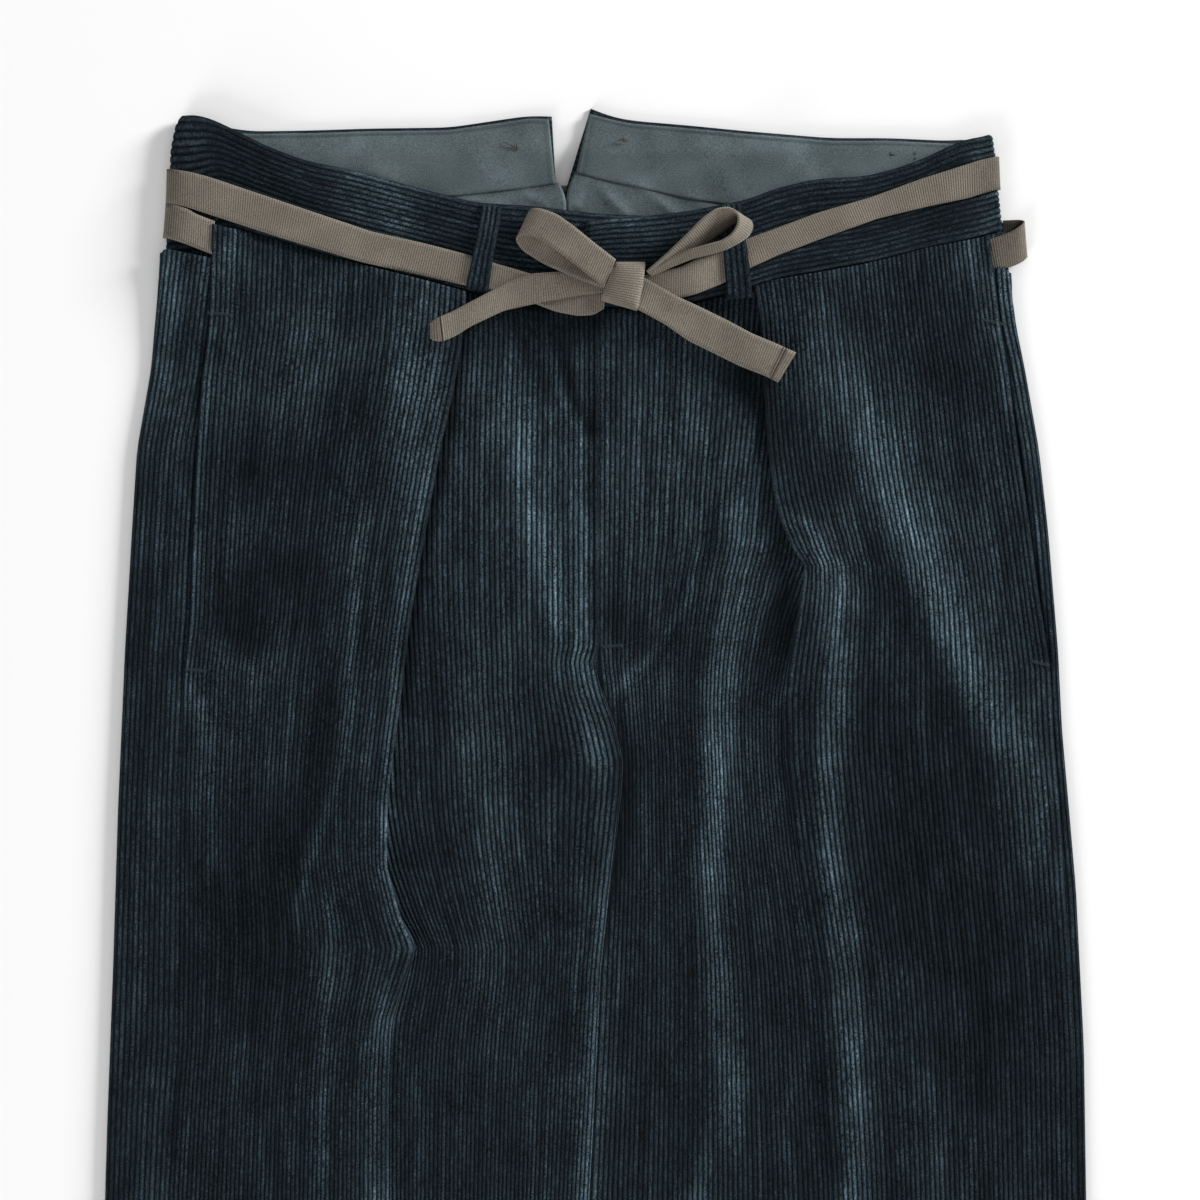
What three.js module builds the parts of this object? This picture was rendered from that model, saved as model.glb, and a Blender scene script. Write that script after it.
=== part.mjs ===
// Wide-wale corduroy trousers with a fishtail waistband and a tie tape, laid flat on their back.
// Millimetres, +Z up from the surface they lie on, +Y towards the waist, the hem at the low end of Y.
// Right and left are the wearer's, so the right leg lies on the -X side.
import * as THREE from "three";

// Cloth and tape, as walls.
const clothWall = 1.4;
const liningWall = 1;
const tapeWall = 1;
const loopWall = 1.2;
const seamGap = 0.3; // between pieces that are sewn edge to edge
const edgeGap = 0.35; // from the side seam's line to each panel's edge
const bandGap = 0.6; // from the waistband's facets to a panel's upper edge

// Heights of the middle of a wall above the surface.
const floorLevel = clothWall / 2;
const layLevel = 2.9; // a front panel over a back panel
const waistLevel = 5.4; // a front panel where it meets the waistband
const waistFade = { from: 385, to: 440 };
const bandLevel = 6.3;
const facingLevel = 5;
const crossingRise = 2.6; // the back waistband over the two tapes that cross under it
const crossingZone = { start: 424, full: 433, end: 491, stop: 504 };
const lapRise = 2; // the left front end of the waistband over the right one
const stripDrop = 0.5; // a back panel's strip below the front panel beside it
const knotHeight = 5.2; // the top of the bow's knot above the lapped waistband

const hemY = -515;
const waleRise = 0.32;
const wales = 16; // across the waistband
const plainSteps = 8; // facets across a ribbed strip's inside
const loopRibs = 4; // across a belt loop
const sideTurn = { steps: 4, bulge: 1.7 }; // the waistband's turn round the side
const liningRows = { facing: 6, body: 2 };

const corduroy = new THREE.MeshStandardMaterial({ color: "#25303a", roughness: 0.95, metalness: 0 });
const corduroyDark = new THREE.MeshStandardMaterial({ color: "#202a33", roughness: 0.95, metalness: 0 });
const liningCloth = new THREE.MeshStandardMaterial({ color: "#566063", roughness: 0.9, metalness: 0 });
const ribbedTape = new THREE.MeshStandardMaterial({ color: "#797068", roughness: 0.9, metalness: 0 });

const clamp01 = (t) => Math.min(1, Math.max(0, t));
const smooth = (t) => clamp01(t) ** 2 * (3 - 2 * clamp01(t));
const ramp = (from, to, value) => smooth((value - from) / (to - from));
const mix = (a, b, t) => a + (b - a) * t;

// A value read from a table of named columns, with straight lines between its rows.
function read(rows, column, key, at) {
  const sorted = [...rows].sort((a, b) => a[key] - b[key]);
  if (at <= sorted[0][key]) return sorted[0][column];
  for (let i = 1; i < sorted.length; i++) {
    const low = sorted[i - 1];
    const high = sorted[i];
    if (at <= high[key]) return mix(low[column], high[column], (at - low[key]) / (high[key] - low[key]));
  }
  return sorted.at(-1)[column];
}

const table = (columns, rows) =>
  rows.map((row) => Object.fromEntries(columns.map((name, i) => [name, row[i]])));

// Outline of the legs: x of the outer fold at each height.
const outerFold = {
  right: table(
    ["y", "x"],
    [
      [444, -217], [418, -218.8], [384, -221.8], [344, -228.8], [304, -231.3], [244, -234.8], [164, -238.3],
      [84, -240.8], [4, -243.8], [-60, -245.6], [-300, -245.6], [hemY, -243],
    ],
  ),
  left: table(
    ["y", "x"],
    [
      [434, 207.3], [418, 208.3], [406, 209.8], [384, 214.3], [344, 221.3], [304, 225.8], [244, 230.8],
      [204, 232.8], [164, 236.3], [124, 239.8], [44, 243.8], [-60, 245.3], [-300, 245.6], [hemY, 243],
    ],
  ),
};

// Where a front panel's side edge lies: the open slit above, the side seam below it.
const sideEdge = {
  right: table(
    ["y", "x"],
    [
      [458, -191.3], [411, -193], [383, -196.8], [346, -199.3], [302, -201.3], [258, -202.8], [232, -205.8],
      [165, -207.3], [48, -208.3], [15, -210.8], [-30, -213.3], [-300, -216], [hemY, -214],
    ],
  ),
  left: table(
    ["y", "x"],
    [
      [451, 196.8], [406, 202.3], [382, 206.8], [344, 211.5], [313, 216.3], [275, 221.3], [249, 225.3],
      [234, 227.6], [204, 229], [164, 232.3], [84, 237.6], [44, 239.6], [-60, 241], [-300, 241.4], [hemY, 239],
    ],
  ),
};

// The line on which the two legs meet: fly, crotch curve, then the inner fold of the right leg.
const meetingLine = table(
  ["y", "x"],
  [
    [416, 2], [246, 2], [238, -1], [222, 3.5], [207, 8.8], [190, 13], [184, 13.2], [169, 12], [127, 7.3],
    [84, 2.8], [32, 0.3], [-30, -3], [-150, -8], [-300, -13], [hemY, -17],
  ],
);
const legGap = table(
  ["y", "x"],
  [
    [260, 0.8], [244, 2.4], [222, 2.2], [84, 2], [-30, 3.4], [-150, 10], [-300, 20], [hemY, 31],
  ],
);
const fly = { lowEnd: 246, overlap: 9, lift: 1.9, flat: 12, fade: 34 };
const crotchY = 222;

// The deep pleat of each front panel. x is its folded edge, turn the angle that the cloth turns back through,
// under the width that lies hidden below it, and spread how far the raised cloth takes to settle.
const pleat = {
  right: table(
    ["y", "x", "turn", "under", "spread"],
    [
      [422, -64.8, 180, 27, 40], [400, -66.8, 180, 26, 40], [372, -71.8, 180, 25, 40], [346, -77.8, 180, 23, 38],
      [321, -82.3, 180, 21, 36], [287, -88.3, 180, 18, 34], [258, -93.3, 180, 15, 32], [220, -97.8, 180, 11, 30],
      [170, -104.3, 180, 7, 28], [136, -104.8, 170, 4, 26], [111, -98, 150, 2.5, 24], [95, -90, 110, 1.4, 22],
      [79, -96.3, 80, 1.6, 22], [58, -103.3, 62, 1.6, 22], [24, -104.8, 52, 1.6, 20], [-30, -104.8, 46, 1.6, 20],
      [-150, -106, 34, 1.4, 24], [-300, -108, 18, 1, 30], [hemY, -110, 6, 0.5, 40],
    ],
  ),
  left: table(
    ["y", "x", "turn", "under", "spread"],
    [
      [425, 79.3, 180, 26, 36], [408, 82.8, 180, 24, 34], [367, 85.3, 180, 20, 32], [344, 86.8, 180, 17, 30],
      [321, 89.8, 180, 13, 28], [306, 93.8, 180, 10, 26], [293, 99.8, 175, 7, 24], [287, 105.3, 165, 5, 24],
      [278, 104.3, 150, 3.5, 24], [260, 101.3, 120, 2, 24], [237, 97.3, 90, 1.8, 24], [220, 95.3, 66, 1.6, 24],
      [190, 96, 44, 1.4, 24], [140, 102, 30, 1.2, 26], [80, 112, 24, 1.2, 28], [-30, 119, 22, 1.2, 30],
      [-300, 122, 12, 1, 34], [hemY, 122, 6, 0.5, 40],
    ],
  ),
};
const pleatRadius = 0.9; // of the middle of the wall
const pleatSteps = 3; // facets in each turn
const pleatRest = 3; // the raised cloth stays level this far past the hidden width
const sideSteps = { count: 7, crowding: 0.85 }; // facets from the side edge to the pleat, closer towards the pleat
const centreSteps = 6; // facets from the pleat to the middle

// Broad soft ridges of the cloth: points along each crest, with its height and half-width there.
const crest = (rows) => table(["x", "y", "high", "wide"], rows);
const ridges = [
  crest([[-110, 329, 0.3, 14], [-121, 239, 1.2, 16], [-134, 157, 1.6, 16], [-149, 118, 1.2, 16]]),
  crest([[-131, 92, 1, 16], [-136, 32, 1.5, 17], [-136, -30, 1.3, 18], [-138, -250, 0.6, 24]]),
  crest([[107, 408, 0.6, 14], [133, 360, 1.6, 16], [149, 313, 2, 16], [179, 252, 1.8, 17], [217, 153, 0.8, 18]]),
  crest([[116, 239, 1, 14], [116, 119, 1.6, 15], [128, 76, 1.6, 16], [128, -30, 1.5, 17], [130, -250, 0.6, 22]]),
  crest([[-49, 168, 1, 22], [-52, 120, 1.4, 24], [-54, 75, 0.8, 24]]),
  crest([[-6, 190, 1.2, 12], [-4, 127, 1.6, 13], [-10, 32, 1.4, 13], [-14, -60, 1, 15], [-26, -300, 0.5, 20]]),
  crest([[52, 200, 0.5, 14], [56, 67, 1.4, 15], [58, 40, 1.6, 15], [54, -8, 1.3, 16], [56, -250, 0.5, 22]]),
  crest([[66, 359, 1, 14], [74, 318, 1.2, 14], [66, 262, 1, 15]]),
  crest([[-186, 178, 0.8, 14], [-186, 137, 1, 14], [-188, 60, 0.4, 14]]),
  crest([[166, 75, 1, 18], [172, -30, 1.1, 20], [174, -250, 0.5, 24]]),
  crest([[-188, 455, 2.6, 13], [-188, 450, 2.6, 13]]),
];

function nearestOnCrest(line, x, y) {
  let best = { distance: Infinity, high: 0, wide: 1 };
  for (let i = 1; i < line.length; i++) {
    const a = line[i - 1];
    const b = line[i];
    const along = ((x - a.x) * (b.x - a.x) + (y - a.y) * (b.y - a.y)) / ((b.x - a.x) ** 2 + (b.y - a.y) ** 2);
    const t = clamp01(along);
    const distance = Math.hypot(x - mix(a.x, b.x, t), y - mix(a.y, b.y, t));
    if (distance < best.distance) best = { distance, high: mix(a.high, b.high, t), wide: mix(a.wide, b.wide, t) };
  }
  return best;
}

// Height of the top cloth's middle where no pleat lifts it.
function layHeight(x, y) {
  let z = mix(layLevel, waistLevel, ramp(waistFade.from, waistFade.to, y));
  for (const line of ridges) {
    const near = nearestOnCrest(line, x, y);
    z += near.high * Math.exp(-((near.distance / near.wide) ** 2));
  }
  return z;
}

// The left panel rises where it laps over the right one at the fly.
function flyRise(x, y) {
  const along = ramp(crotchY, fly.lowEnd, y);
  return fly.lift * along * (1 - ramp(fly.flat, fly.fade, x));
}

function crossingHeight(y) {
  const up = ramp(crossingZone.start, crossingZone.full, y);
  const down = 1 - ramp(crossingZone.end, crossingZone.stop, y);
  return crossingRise * up * down;
}

function toGeometry(points, faces) {
  const geometry = new THREE.BufferGeometry();
  geometry.setAttribute("position", new THREE.Float32BufferAttribute(points.flatMap((p) => [p.x, p.y, p.z]), 3));
  const corner = (i) => points[i];
  let volume = 0;
  for (const [a, b, c] of faces) volume += corner(a).dot(corner(b).clone().cross(corner(c)));
  geometry.setIndex(faces.flatMap(([a, b, c]) => (volume < 0 ? [a, c, b] : [a, b, c])));
  geometry.computeVertexNormals();
  return geometry;
}

// A closed wall of even thickness about a grid of middle points, rows[j][i].
function wall(rows, thickness) {
  const tall = rows.length;
  const across = rows[0].length;
  const points = [];
  for (const sign of [1, -1]) {
    for (let j = 0; j < tall; j++) {
      for (let i = 0; i < across; i++) {
        const alongRow = rows[j][Math.min(i + 1, across - 1)].clone().sub(rows[j][Math.max(i - 1, 0)]).normalize();
        const alongColumn = rows[Math.min(j + 1, tall - 1)][i].clone().sub(rows[Math.max(j - 1, 0)][i]);
        const normal = alongRow.cross(alongColumn).normalize();
        points.push(rows[j][i].clone().addScaledVector(normal, (sign * thickness) / 2));
      }
    }
  }
  const under = tall * across;
  const at = (j, i) => j * across + i;
  const faces = [];
  const quad = (a, b, c, d) => faces.push([a, b, c], [a, c, d]);
  for (let j = 0; j < tall - 1; j++) {
    for (let i = 0; i < across - 1; i++) {
      quad(at(j, i), at(j, i + 1), at(j + 1, i + 1), at(j + 1, i));
      quad(under + at(j, i), under + at(j + 1, i), under + at(j + 1, i + 1), under + at(j, i + 1));
    }
    quad(at(j, 0), at(j + 1, 0), under + at(j + 1, 0), under + at(j, 0));
    quad(at(j + 1, across - 1), at(j, across - 1), under + at(j, across - 1), under + at(j + 1, across - 1));
  }
  for (let i = 0; i < across - 1; i++) {
    quad(at(0, i + 1), at(0, i), under + at(0, i), under + at(0, i + 1));
    quad(at(tall - 1, i), at(tall - 1, i + 1), under + at(tall - 1, i + 1), under + at(tall - 1, i));
  }
  return toGeometry(points, faces);
}

// A strip whose outer face has upright ribs over a plain inside. Each station gives the strip's two edges,
// the way its outer face looks and how far the ribs stand up there.
function ribbedStrip(stations, thickness, ribs) {
  const outer = 2 * ribs;
  const sections = stations.map(({ a, b, normal, rise, lift = () => 0 }) => {
    const section = [];
    for (let k = 0; k <= outer; k++) {
      const p = a.clone().lerp(b, k / outer);
      p.z += lift(p);
      section.push(p.addScaledVector(normal, thickness / 2 + (k % 2 ? rise : 0)));
    }
    for (let k = plainSteps; k >= 0; k--) {
      const p = a.clone().lerp(b, k / plainSteps);
      p.z += lift(p);
      section.push(p.addScaledVector(normal, -thickness / 2));
    }
    return section;
  });
  const count = sections[0].length;
  const points = sections.flat();
  const faces = [];
  for (let s = 0; s < sections.length - 1; s++) {
    for (let k = 0; k < count; k++) {
      const next = (k + 1) % count;
      const here = s * count;
      const there = here + count;
      faces.push([here + k, here + next, there + next], [here + k, there + next, there + k]);
    }
  }
  // Each end is closed by a fan of quads between the ribbed side and the plain one.
  const closeEnd = (start, turned) => {
    const plain = (k) => start + outer + 1 + (plainSteps - Math.round((k * plainSteps) / outer));
    for (let k = 0; k < outer; k++) {
      const low = plain(k);
      const high = plain(k + 1);
      faces.push(turned ? [start + k, low, start + k + 1] : [start + k, start + k + 1, low]);
      if (low !== high) faces.push(turned ? [start + k + 1, low, high] : [start + k + 1, high, low]);
    }
  };
  closeEnd(0, true);
  closeEnd((sections.length - 1) * count, false);
  return toGeometry(points, faces);
}

const group = new THREE.Group();
function add(name, geometry, material) {
  const mesh = new THREE.Mesh(geometry, material);
  mesh.name = name;
  group.add(mesh);
}

// Waistband edges, in front from the centre to the side and behind from the side to the fishtail tip.
const bandFront = {
  right: table(
    ["topX", "topY", "lowX", "lowY", "lift"],
    [
      [46, 460, 45, 419.5, 0], [24, 461, 22, 417.8, 0], [1, 462, 1, 416.4, 0], [-32, 466, -32, 416.6, 0],
      [-60, 467.5, -58, 422, 0], [-89, 475, -86, 429.5, 0], [-122, 484, -118, 437.5, 0], [-145, 488.5, -140, 443.5, 0],
      [-165, 496, -161, 450.2, 0], [-180, 503.8, -178, 454.5, 0], [-193, 509, -192, 457.5, 0], [-203, 510, -194, 442, 0],
      [-207.5, 508.5, -213, 446, 0],
    ],
  ),
  left: table(
    ["topX", "topY", "lowX", "lowY", "lift"],
    [
      [-5, 457.8, -5, 416, 2], [6, 459.5, 6, 415.5, 2], [28, 461, 27, 415.5, 2], [49, 463.5, 47, 417.5, 2],
      [64, 467, 62, 421, 0.4], [75, 468.5, 74, 424.5, 0], [89, 474.5, 90, 429.5, 0], [110, 479.5, 110, 433, 0],
      [134, 480.5, 132, 437, 0], [148, 484, 149, 441, 0], [163, 489, 165, 445.5, 0], [179, 497, 181, 448.5, 0],
      [191, 500.5, 194, 451, 0], [196.5, 501.5, 202, 454, 0],
    ],
  ),
};
const bandBack = {
  right: table(
    ["topX", "topY", "lowX", "lowY"],
    [
      [-203, 509.5, -207, 445], [-193, 507, -190, 446.6], [-173, 503.5, -168, 448.7], [-143, 504, -140, 451.4],
      [-113, 505, -110, 454.3], [-73, 505.5, -70, 458.1], [-53, 508.5, -50, 460], [-33, 511.5, -33, 461.7],
      [-21.9, 511, -19, 463],
    ],
  ),
  left: table(
    ["topX", "topY", "lowX", "lowY"],
    [
      [192, 500, 197, 452], [177, 498.5, 180, 452.9], [147, 500, 147, 454.7], [117, 500, 116, 456.4],
      [77, 503.5, 75, 458.6], [47, 506.5, 45, 460.2], [17, 509, 12, 462], [7.2, 511, 1, 462.6], [-2.4, 515, -18, 463.6],
    ],
  ),
};

function waistband(side) {
  const out = side === "left" ? 1 : -1;
  const up = new THREE.Vector3(0, 0, 1);
  const stations = bandFront[side].map((row) => ({
    a: new THREE.Vector3(row.topX, row.topY, bandLevel + row.lift),
    b: new THREE.Vector3(row.lowX, row.lowY, bandLevel + row.lift),
    normal: up,
    rise: waleRise,
  }));
  const front = stations.at(-1);
  const back = bandBack[side][0];
  for (let k = 1; k < sideTurn.steps; k++) {
    const angle = (Math.PI * k) / sideTurn.steps;
    const high = (1 + Math.cos(angle)) / 2;
    const bulge = Math.sin(angle) * sideTurn.bulge * out;
    const z = mix(floorLevel, bandLevel, high);
    stations.push({
      a: new THREE.Vector3(mix(back.topX, front.a.x, high) + bulge, mix(back.topY, front.a.y, high), z),
      b: new THREE.Vector3(mix(back.lowX, front.b.x, high) + bulge, mix(back.lowY, front.b.y, high), z),
      normal: new THREE.Vector3(Math.sin(angle) * out, 0, Math.cos(angle)),
      rise: waleRise * high,
      lift: (p) => (1 - high) * crossingHeight(p.y),
    });
  }
  for (const row of bandBack[side]) {
    stations.push({
      a: new THREE.Vector3(row.topX, row.topY, floorLevel),
      b: new THREE.Vector3(row.lowX, row.lowY, floorLevel),
      normal: up.clone().negate(),
      rise: 0,
      lift: (p) => crossingHeight(p.y),
    });
  }
  add(`waistband_${side}`, ribbedStrip(stations, clothWall, wales), corduroy);
}

// A flat piece of lining inside the back, between an upper and a lower edge.
function liningPiece(name, stations, across) {
  const rows = [];
  for (let j = 0; j <= across; j++) {
    rows.push(
      stations.map((row) => {
        const x = mix(row.topX, row.lowX, j / across);
        const y = mix(row.topY, row.lowY, j / across);
        const z = facingLevel - crossingRise + crossingHeight(y);
        return new THREE.Vector3(x, y, z);
      }),
    );
  }
  add(name, wall(rows, liningWall), liningCloth);
}
const facings = {
  right: table(
    ["topX", "topY", "lowX", "lowY"],
    [
      [-186, 503, -184, 470], [-172, 502, -168, 469], [-143, 502.5, -140, 468.5], [-113, 503.5, -110, 469],
      [-75, 504, -75, 470.2], [-53, 507, -52.2, 472.7], [-33, 510, -32.2, 475.2], [-23.4, 509.5, -20, 477],
    ],
  ),
  left: table(
    ["topX", "topY", "lowX", "lowY"],
    [
      [180, 497, 178, 465], [147, 498.5, 145, 464], [117, 498.5, 114, 464], [77, 502, 74, 465.5],
      [47, 505, 47, 469.2], [17, 507.5, 20, 475.5], [7.5, 509.5, 8, 478], [-1.2, 512.5, -8.4, 482],
    ],
  ),
};
const bodyLining = {
  right: table(
    ["topX", "topY", "lowX", "lowY"],
    [
      [-100, 468.7, -100, 452], [-75, 469.8, -75, 449], [-52.2, 472.3, -52, 446], [-32.2, 474.8, -32, 443],
      [-20, 476.6, -15, 443],
    ],
  ),
  left: table(
    ["topX", "topY", "lowX", "lowY"],
    [
      [80, 464.7, 80, 450], [47, 468.8, 47, 446], [20, 475.1, 20, 443], [8, 477.5, 6, 443], [-9.4, 481.2, -14.5, 443],
    ],
  ),
};

// The upper edge of a front or back panel follows the waistband's lower edge.
function bandLowEdge(side, x) {
  return read(bandFront[side], "lowY", "lowX", x) - bandGap;
}

// One row of a front panel, from the side edge to the meeting line, as steps along the cloth.
function frontRow(side, y, sideY) {
  const out = side === "left" ? 1 : -1;
  const fold = Object.fromEntries(
    ["x", "turn", "under", "spread"].map((column) => [column, read(pleat[side], column, "y", y)]),
  );
  const edge = out * fold.x;
  const turn = THREE.MathUtils.degToRad(fold.turn);
  const outward = out * read(sideEdge[side], "x", "y", sideY) - edgeGap;
  const reach = pleatRadius * (turn > Math.PI / 2 ? 1 : Math.sin(turn));
  const drop = 2 * pleatRadius * (1 - Math.cos(turn)) + fold.under * Math.sin(turn);
  const row = [];
  const start = edge + reach;
  const level = fold.under + pleatRest;
  for (let k = 0; k < sideSteps.count; k++) {
    const u = mix(outward, start, (k / sideSteps.count) ** sideSteps.crowding);
    const settled = 1 - ramp(level, level + fold.spread, u - start);
    row.push({ u, z: drop * settled });
  }
  let u = start;
  let z = drop;
  row.push({ u, z });
  const step = (heading, length) => {
    u -= Math.cos(heading) * length;
    z -= Math.sin(heading) * length;
    row.push({ u, z });
  };
  const chord = 2 * pleatRadius * Math.sin(turn / pleatSteps / 2);
  for (let k = 0; k < pleatSteps; k++) step((turn * (k + 0.5)) / pleatSteps, chord);
  step(turn, fold.under);
  for (let k = pleatSteps - 1; k >= 0; k--) step((turn * (k + 0.5)) / pleatSteps, chord);
  const centre = innerEdge(side, y);
  const from = u;
  for (let k = 1; k <= centreSteps; k++) row.push({ u: mix(from, out * centre, k / centreSteps), z: 0 });
  return row.map((p) => ({ x: out * p.u, z: p.z }));
}

// Where a front panel ends at the middle, before its inner fold.
function innerEdge(side, y) {
  const line = read(meetingLine, "x", "y", y);
  const gap = read(legGap, "x", "y", y);
  const under = side === "right" ? fly.overlap * ramp(fly.lowEnd - 4, fly.lowEnd + 4, y) : 0;
  return side === "right" ? line - gap / 4 + under : line + (gap * 3) / 4;
}

const legHeights = [
  384, 362, 340, 316, 296, 284, 270, 254, 240, 222, 204, 188, 168, 140, 116, 100, 84, 62, 24, -30, -110, -240, -390,
  hemY,
];
const frontHeights = [422, 404, ...legHeights];
const backHeights = [444, 433, 424, 404, ...legHeights];
const innerFoldSteps = 4;
const flatEndStep = 0.5; // each step of a panel's inner end where it lies flat under the fly

function frontPanel(side) {
  const out = side === "left" ? 1 : -1;
  const rows = frontHeights.map((height) => {
    const nearWaist = ramp(372, frontHeights[0], height);
    const corner = bandLowEdge(side, sideEdge[side][0].x);
    const sideY = mix(height, height - frontHeights[0] + corner, nearWaist);
    const row = frontRow(side, height, sideY).map((p) => {
      const y = mix(height, height - frontHeights[0] + bandLowEdge(side, p.x), nearWaist);
      const lap = side === "left" ? flyRise(p.x, y) : 0;
      return new THREE.Vector3(p.x, y, layHeight(p.x, y) + p.z + lap);
    });
    // The inner fold turns down to the back panel below the crotch, and lies flat above it.
    const folded = 1 - ramp(crotchY, fly.lowEnd - 6, height);
    const last = row.at(-1);
    const radius = (last.z - floorLevel) / 2;
    row.pop();
    const start = last.clone();
    start.x += out * radius * folded;
    row.push(start.clone());
    let { x, z } = start;
    for (let k = 0; k < innerFoldSteps; k++) {
      const heading = (Math.PI * folded * (k + 0.5)) / innerFoldSteps;
      const length = mix(flatEndStep, 2 * radius * Math.sin(Math.PI / innerFoldSteps / 2), folded);
      x -= out * Math.cos(heading) * length;
      z -= Math.sin(heading) * length;
      row.push(new THREE.Vector3(x, last.y, z));
    }
    return row;
  });
  add(`front_panel_${side}`, wall(rows, clothWall), side === "left" ? corduroy : corduroyDark);
}

const stripTop = { right: 441.4, left: 433.6 };
const backSteps = { floor: 6, turn: 4 };
// The centre back seam of each panel runs straight from below the waistband to the crotch.
const centreBack = { topY: 463, length: 241, right: { top: -13.5, low: -2 }, left: { top: -12.9, low: -1.4 } };

function backPanel(side) {
  const out = side === "left" ? 1 : -1;
  const rows = backHeights.map((height) => {
    const nearWaist = ramp(404, backHeights[0], height);
    const sideY = mix(height, height - backHeights[0] + stripTop[side], nearWaist);
    const outer = out * read(outerFold[side], "x", "y", sideY);
    const seam = out * read(sideEdge[side], "x", "y", sideY) + edgeGap;
    const stripLevel = layHeight(out * seam, sideY) - stripDrop;
    const radius = (stripLevel - floorLevel) / 2;
    const folded = 1 - ramp(crotchY, fly.lowEnd - 6, height);
    const edge = innerEdge(side, height);
    const front = layHeight(edge, height);
    const below = (front - floorLevel) / 2;
    const seamX = mix(centreBack[side].top, centreBack[side].low, clamp01((centreBack.topY - height) / centreBack.length));
    const inner = mix(seamX, edge + out * (below + 2 * seamGap), folded) * out;
    const row = [];
    for (let k = 0; k <= backSteps.floor; k++) {
      const u = mix(inner, outer - radius, k / backSteps.floor);
      const top = read(bandBack[side], "lowY", "lowX", out * u) - bandGap;
      const y = mix(height, height - backHeights[0] + top, nearWaist);
      row.push(new THREE.Vector3(out * u, y, floorLevel + crossingHeight(y)));
    }
    const y = sideY;
    const raised = floorLevel + crossingHeight(y);
    const half = (stripLevel - raised) / 2;
    for (let k = 1; k <= backSteps.turn; k++) {
      const angle = (Math.PI * k) / backSteps.turn;
      const u = outer - radius + Math.sin(angle) * radius;
      row.push(new THREE.Vector3(out * u, y, raised + half * (1 - Math.cos(angle))));
    }
    for (const share of [0.5, 1]) {
      row.push(new THREE.Vector3(out * mix(outer - radius, seam, share), y, stripLevel));
    }
    return row;
  });
  add(`back_panel_${side}`, wall(rows, clothWall), side === "left" ? corduroyDark : corduroy);
}

// A length of tape between two edges, each station giving both edges and the heights of the tape's middle there.
function tape(name, rows) {
  const stations = table(["ax", "ay", "az", "bx", "by", "bz"], rows);
  const grid = [0, 1].map((edge) =>
    stations.map((s) =>
      edge ? new THREE.Vector3(s.bx, s.by, s.bz) : new THREE.Vector3(s.ax, s.ay, s.az),
    ),
  );
  add(name, wall(grid, tapeWall), ribbedTape);
}

for (const side of ["right", "left"]) {
  backPanel(side);
  frontPanel(side);
  waistband(side);
  liningPiece(`waistband_facing_${side}`, facings[side], liningRows.facing);
  liningPiece(`back_lining_${side}`, bodyLining[side], liningRows.body);
}

const onBand = bandLevel + clothWall / 2 + waleRise + seamGap + tapeWall / 2;
const onTape = onBand + tapeWall + seamGap;
const onLap = onBand + lapRise;
const floorTape = tapeWall / 2;

// Belt loops, with upright ribs, stand over the tape. Rows run from the upper end to the lower one.
function beltLoop(side, rows) {
  const stations = table(["x", "y", "half", "z"], rows);
  const first = stations[0];
  const last = stations.at(-1);
  const along = new THREE.Vector2(last.x - first.x, last.y - first.y).normalize();
  const sideways = new THREE.Vector3(-along.y, along.x, 0);
  add(
    `belt_loop_${side}`,
    ribbedStrip(
      stations.map((s) => {
        const middle = new THREE.Vector3(s.x, s.y, s.z);
        return {
          a: middle.clone().addScaledVector(sideways, s.half),
          b: middle.clone().addScaledVector(sideways, -s.half),
          normal: new THREE.Vector3(0, 0, 1),
          rise: waleRise,
        };
      }),
      loopWall,
      loopRibs,
    ),
    corduroy,
  );
}
const loopLow = onBand + 0.1;
const loopHigh = onTape + 0.5;
beltLoop("right", [
  [-51.7, 465.8, 5, loopLow], [-52.6, 459, 5, loopLow + 0.4], [-54.6, 448, 5, loopHigh], [-56, 442, 5.1, loopHigh],
  [-58, 430, 5.4, loopHigh], [-58.8, 426, 5.7, loopHigh], [-59.2, 423.6, 5.8, loopHigh - 0.4],
]);
beltLoop("left", [
  [67.5, 466.4, 5.2, loopLow + 0.4], [68, 460, 5.4, loopHigh - 0.3], [69, 451, 5.6, loopHigh], [70, 442, 6, loopHigh],
  [71, 432, 6.2, loopHigh], [71.6, 425, 6.3, loopHigh], [71.9, 419.6, 6.4, loopHigh - 0.2],
]);

// The tape that comes round the right side to the bow, and the stub of the other tape in the right slit.
const roundSide = (x, yTop, yLow, out, from) =>
  [
    [0, from], [1.6, from - 0.8], [2.3, from / 2 + 1.6], [2.3, floorTape + 1.6], [1.2, floorTape + 0.2],
  ].map(([dx, z]) => [x + out * dx, yTop, z, x + out * dx, yLow, z]);
tape("tape_run_right", [
  ...roundSide(-213.6, 484.6, 467.6, -1, onBand).reverse(),
  [-193, 480.6, onBand, -193, 460.4, onBand], [-154.8, 467.5, onBand, -158.2, 450.2, onBand],
  [-111.8, 453, onBand, -117, 437.8, onBand], [-85, 447, onBand, -89, 431.6, onBand],
  [-63.8, 441.5, onBand, -66.2, 426.3, onBand], [-51.2, 437.5, onBand, -53.2, 423.5, onBand],
  [-31.8, 431.8, onBand, -32.8, 418, onBand], [-20, 427.5, onBand, -20, 413, onBand],
  [-8.5, 424.5, onLap, -8.5, 411, onLap], [2.6, 421.8, onLap + 0.2, 2.6, 412, onLap + 0.2],
]);
tape("tape_stub_right", [
  ...roundSide(-214, 467, 450.4, -1, onBand).reverse(),
  [-208, 464.4, onBand, -208.5, 447.4, onBand], [-200, 461.4, onBand, -200.6, 444.2, onBand],
  [-192.6, 458.2, onBand, -192.8, 442.6, onBand],
]);
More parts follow.
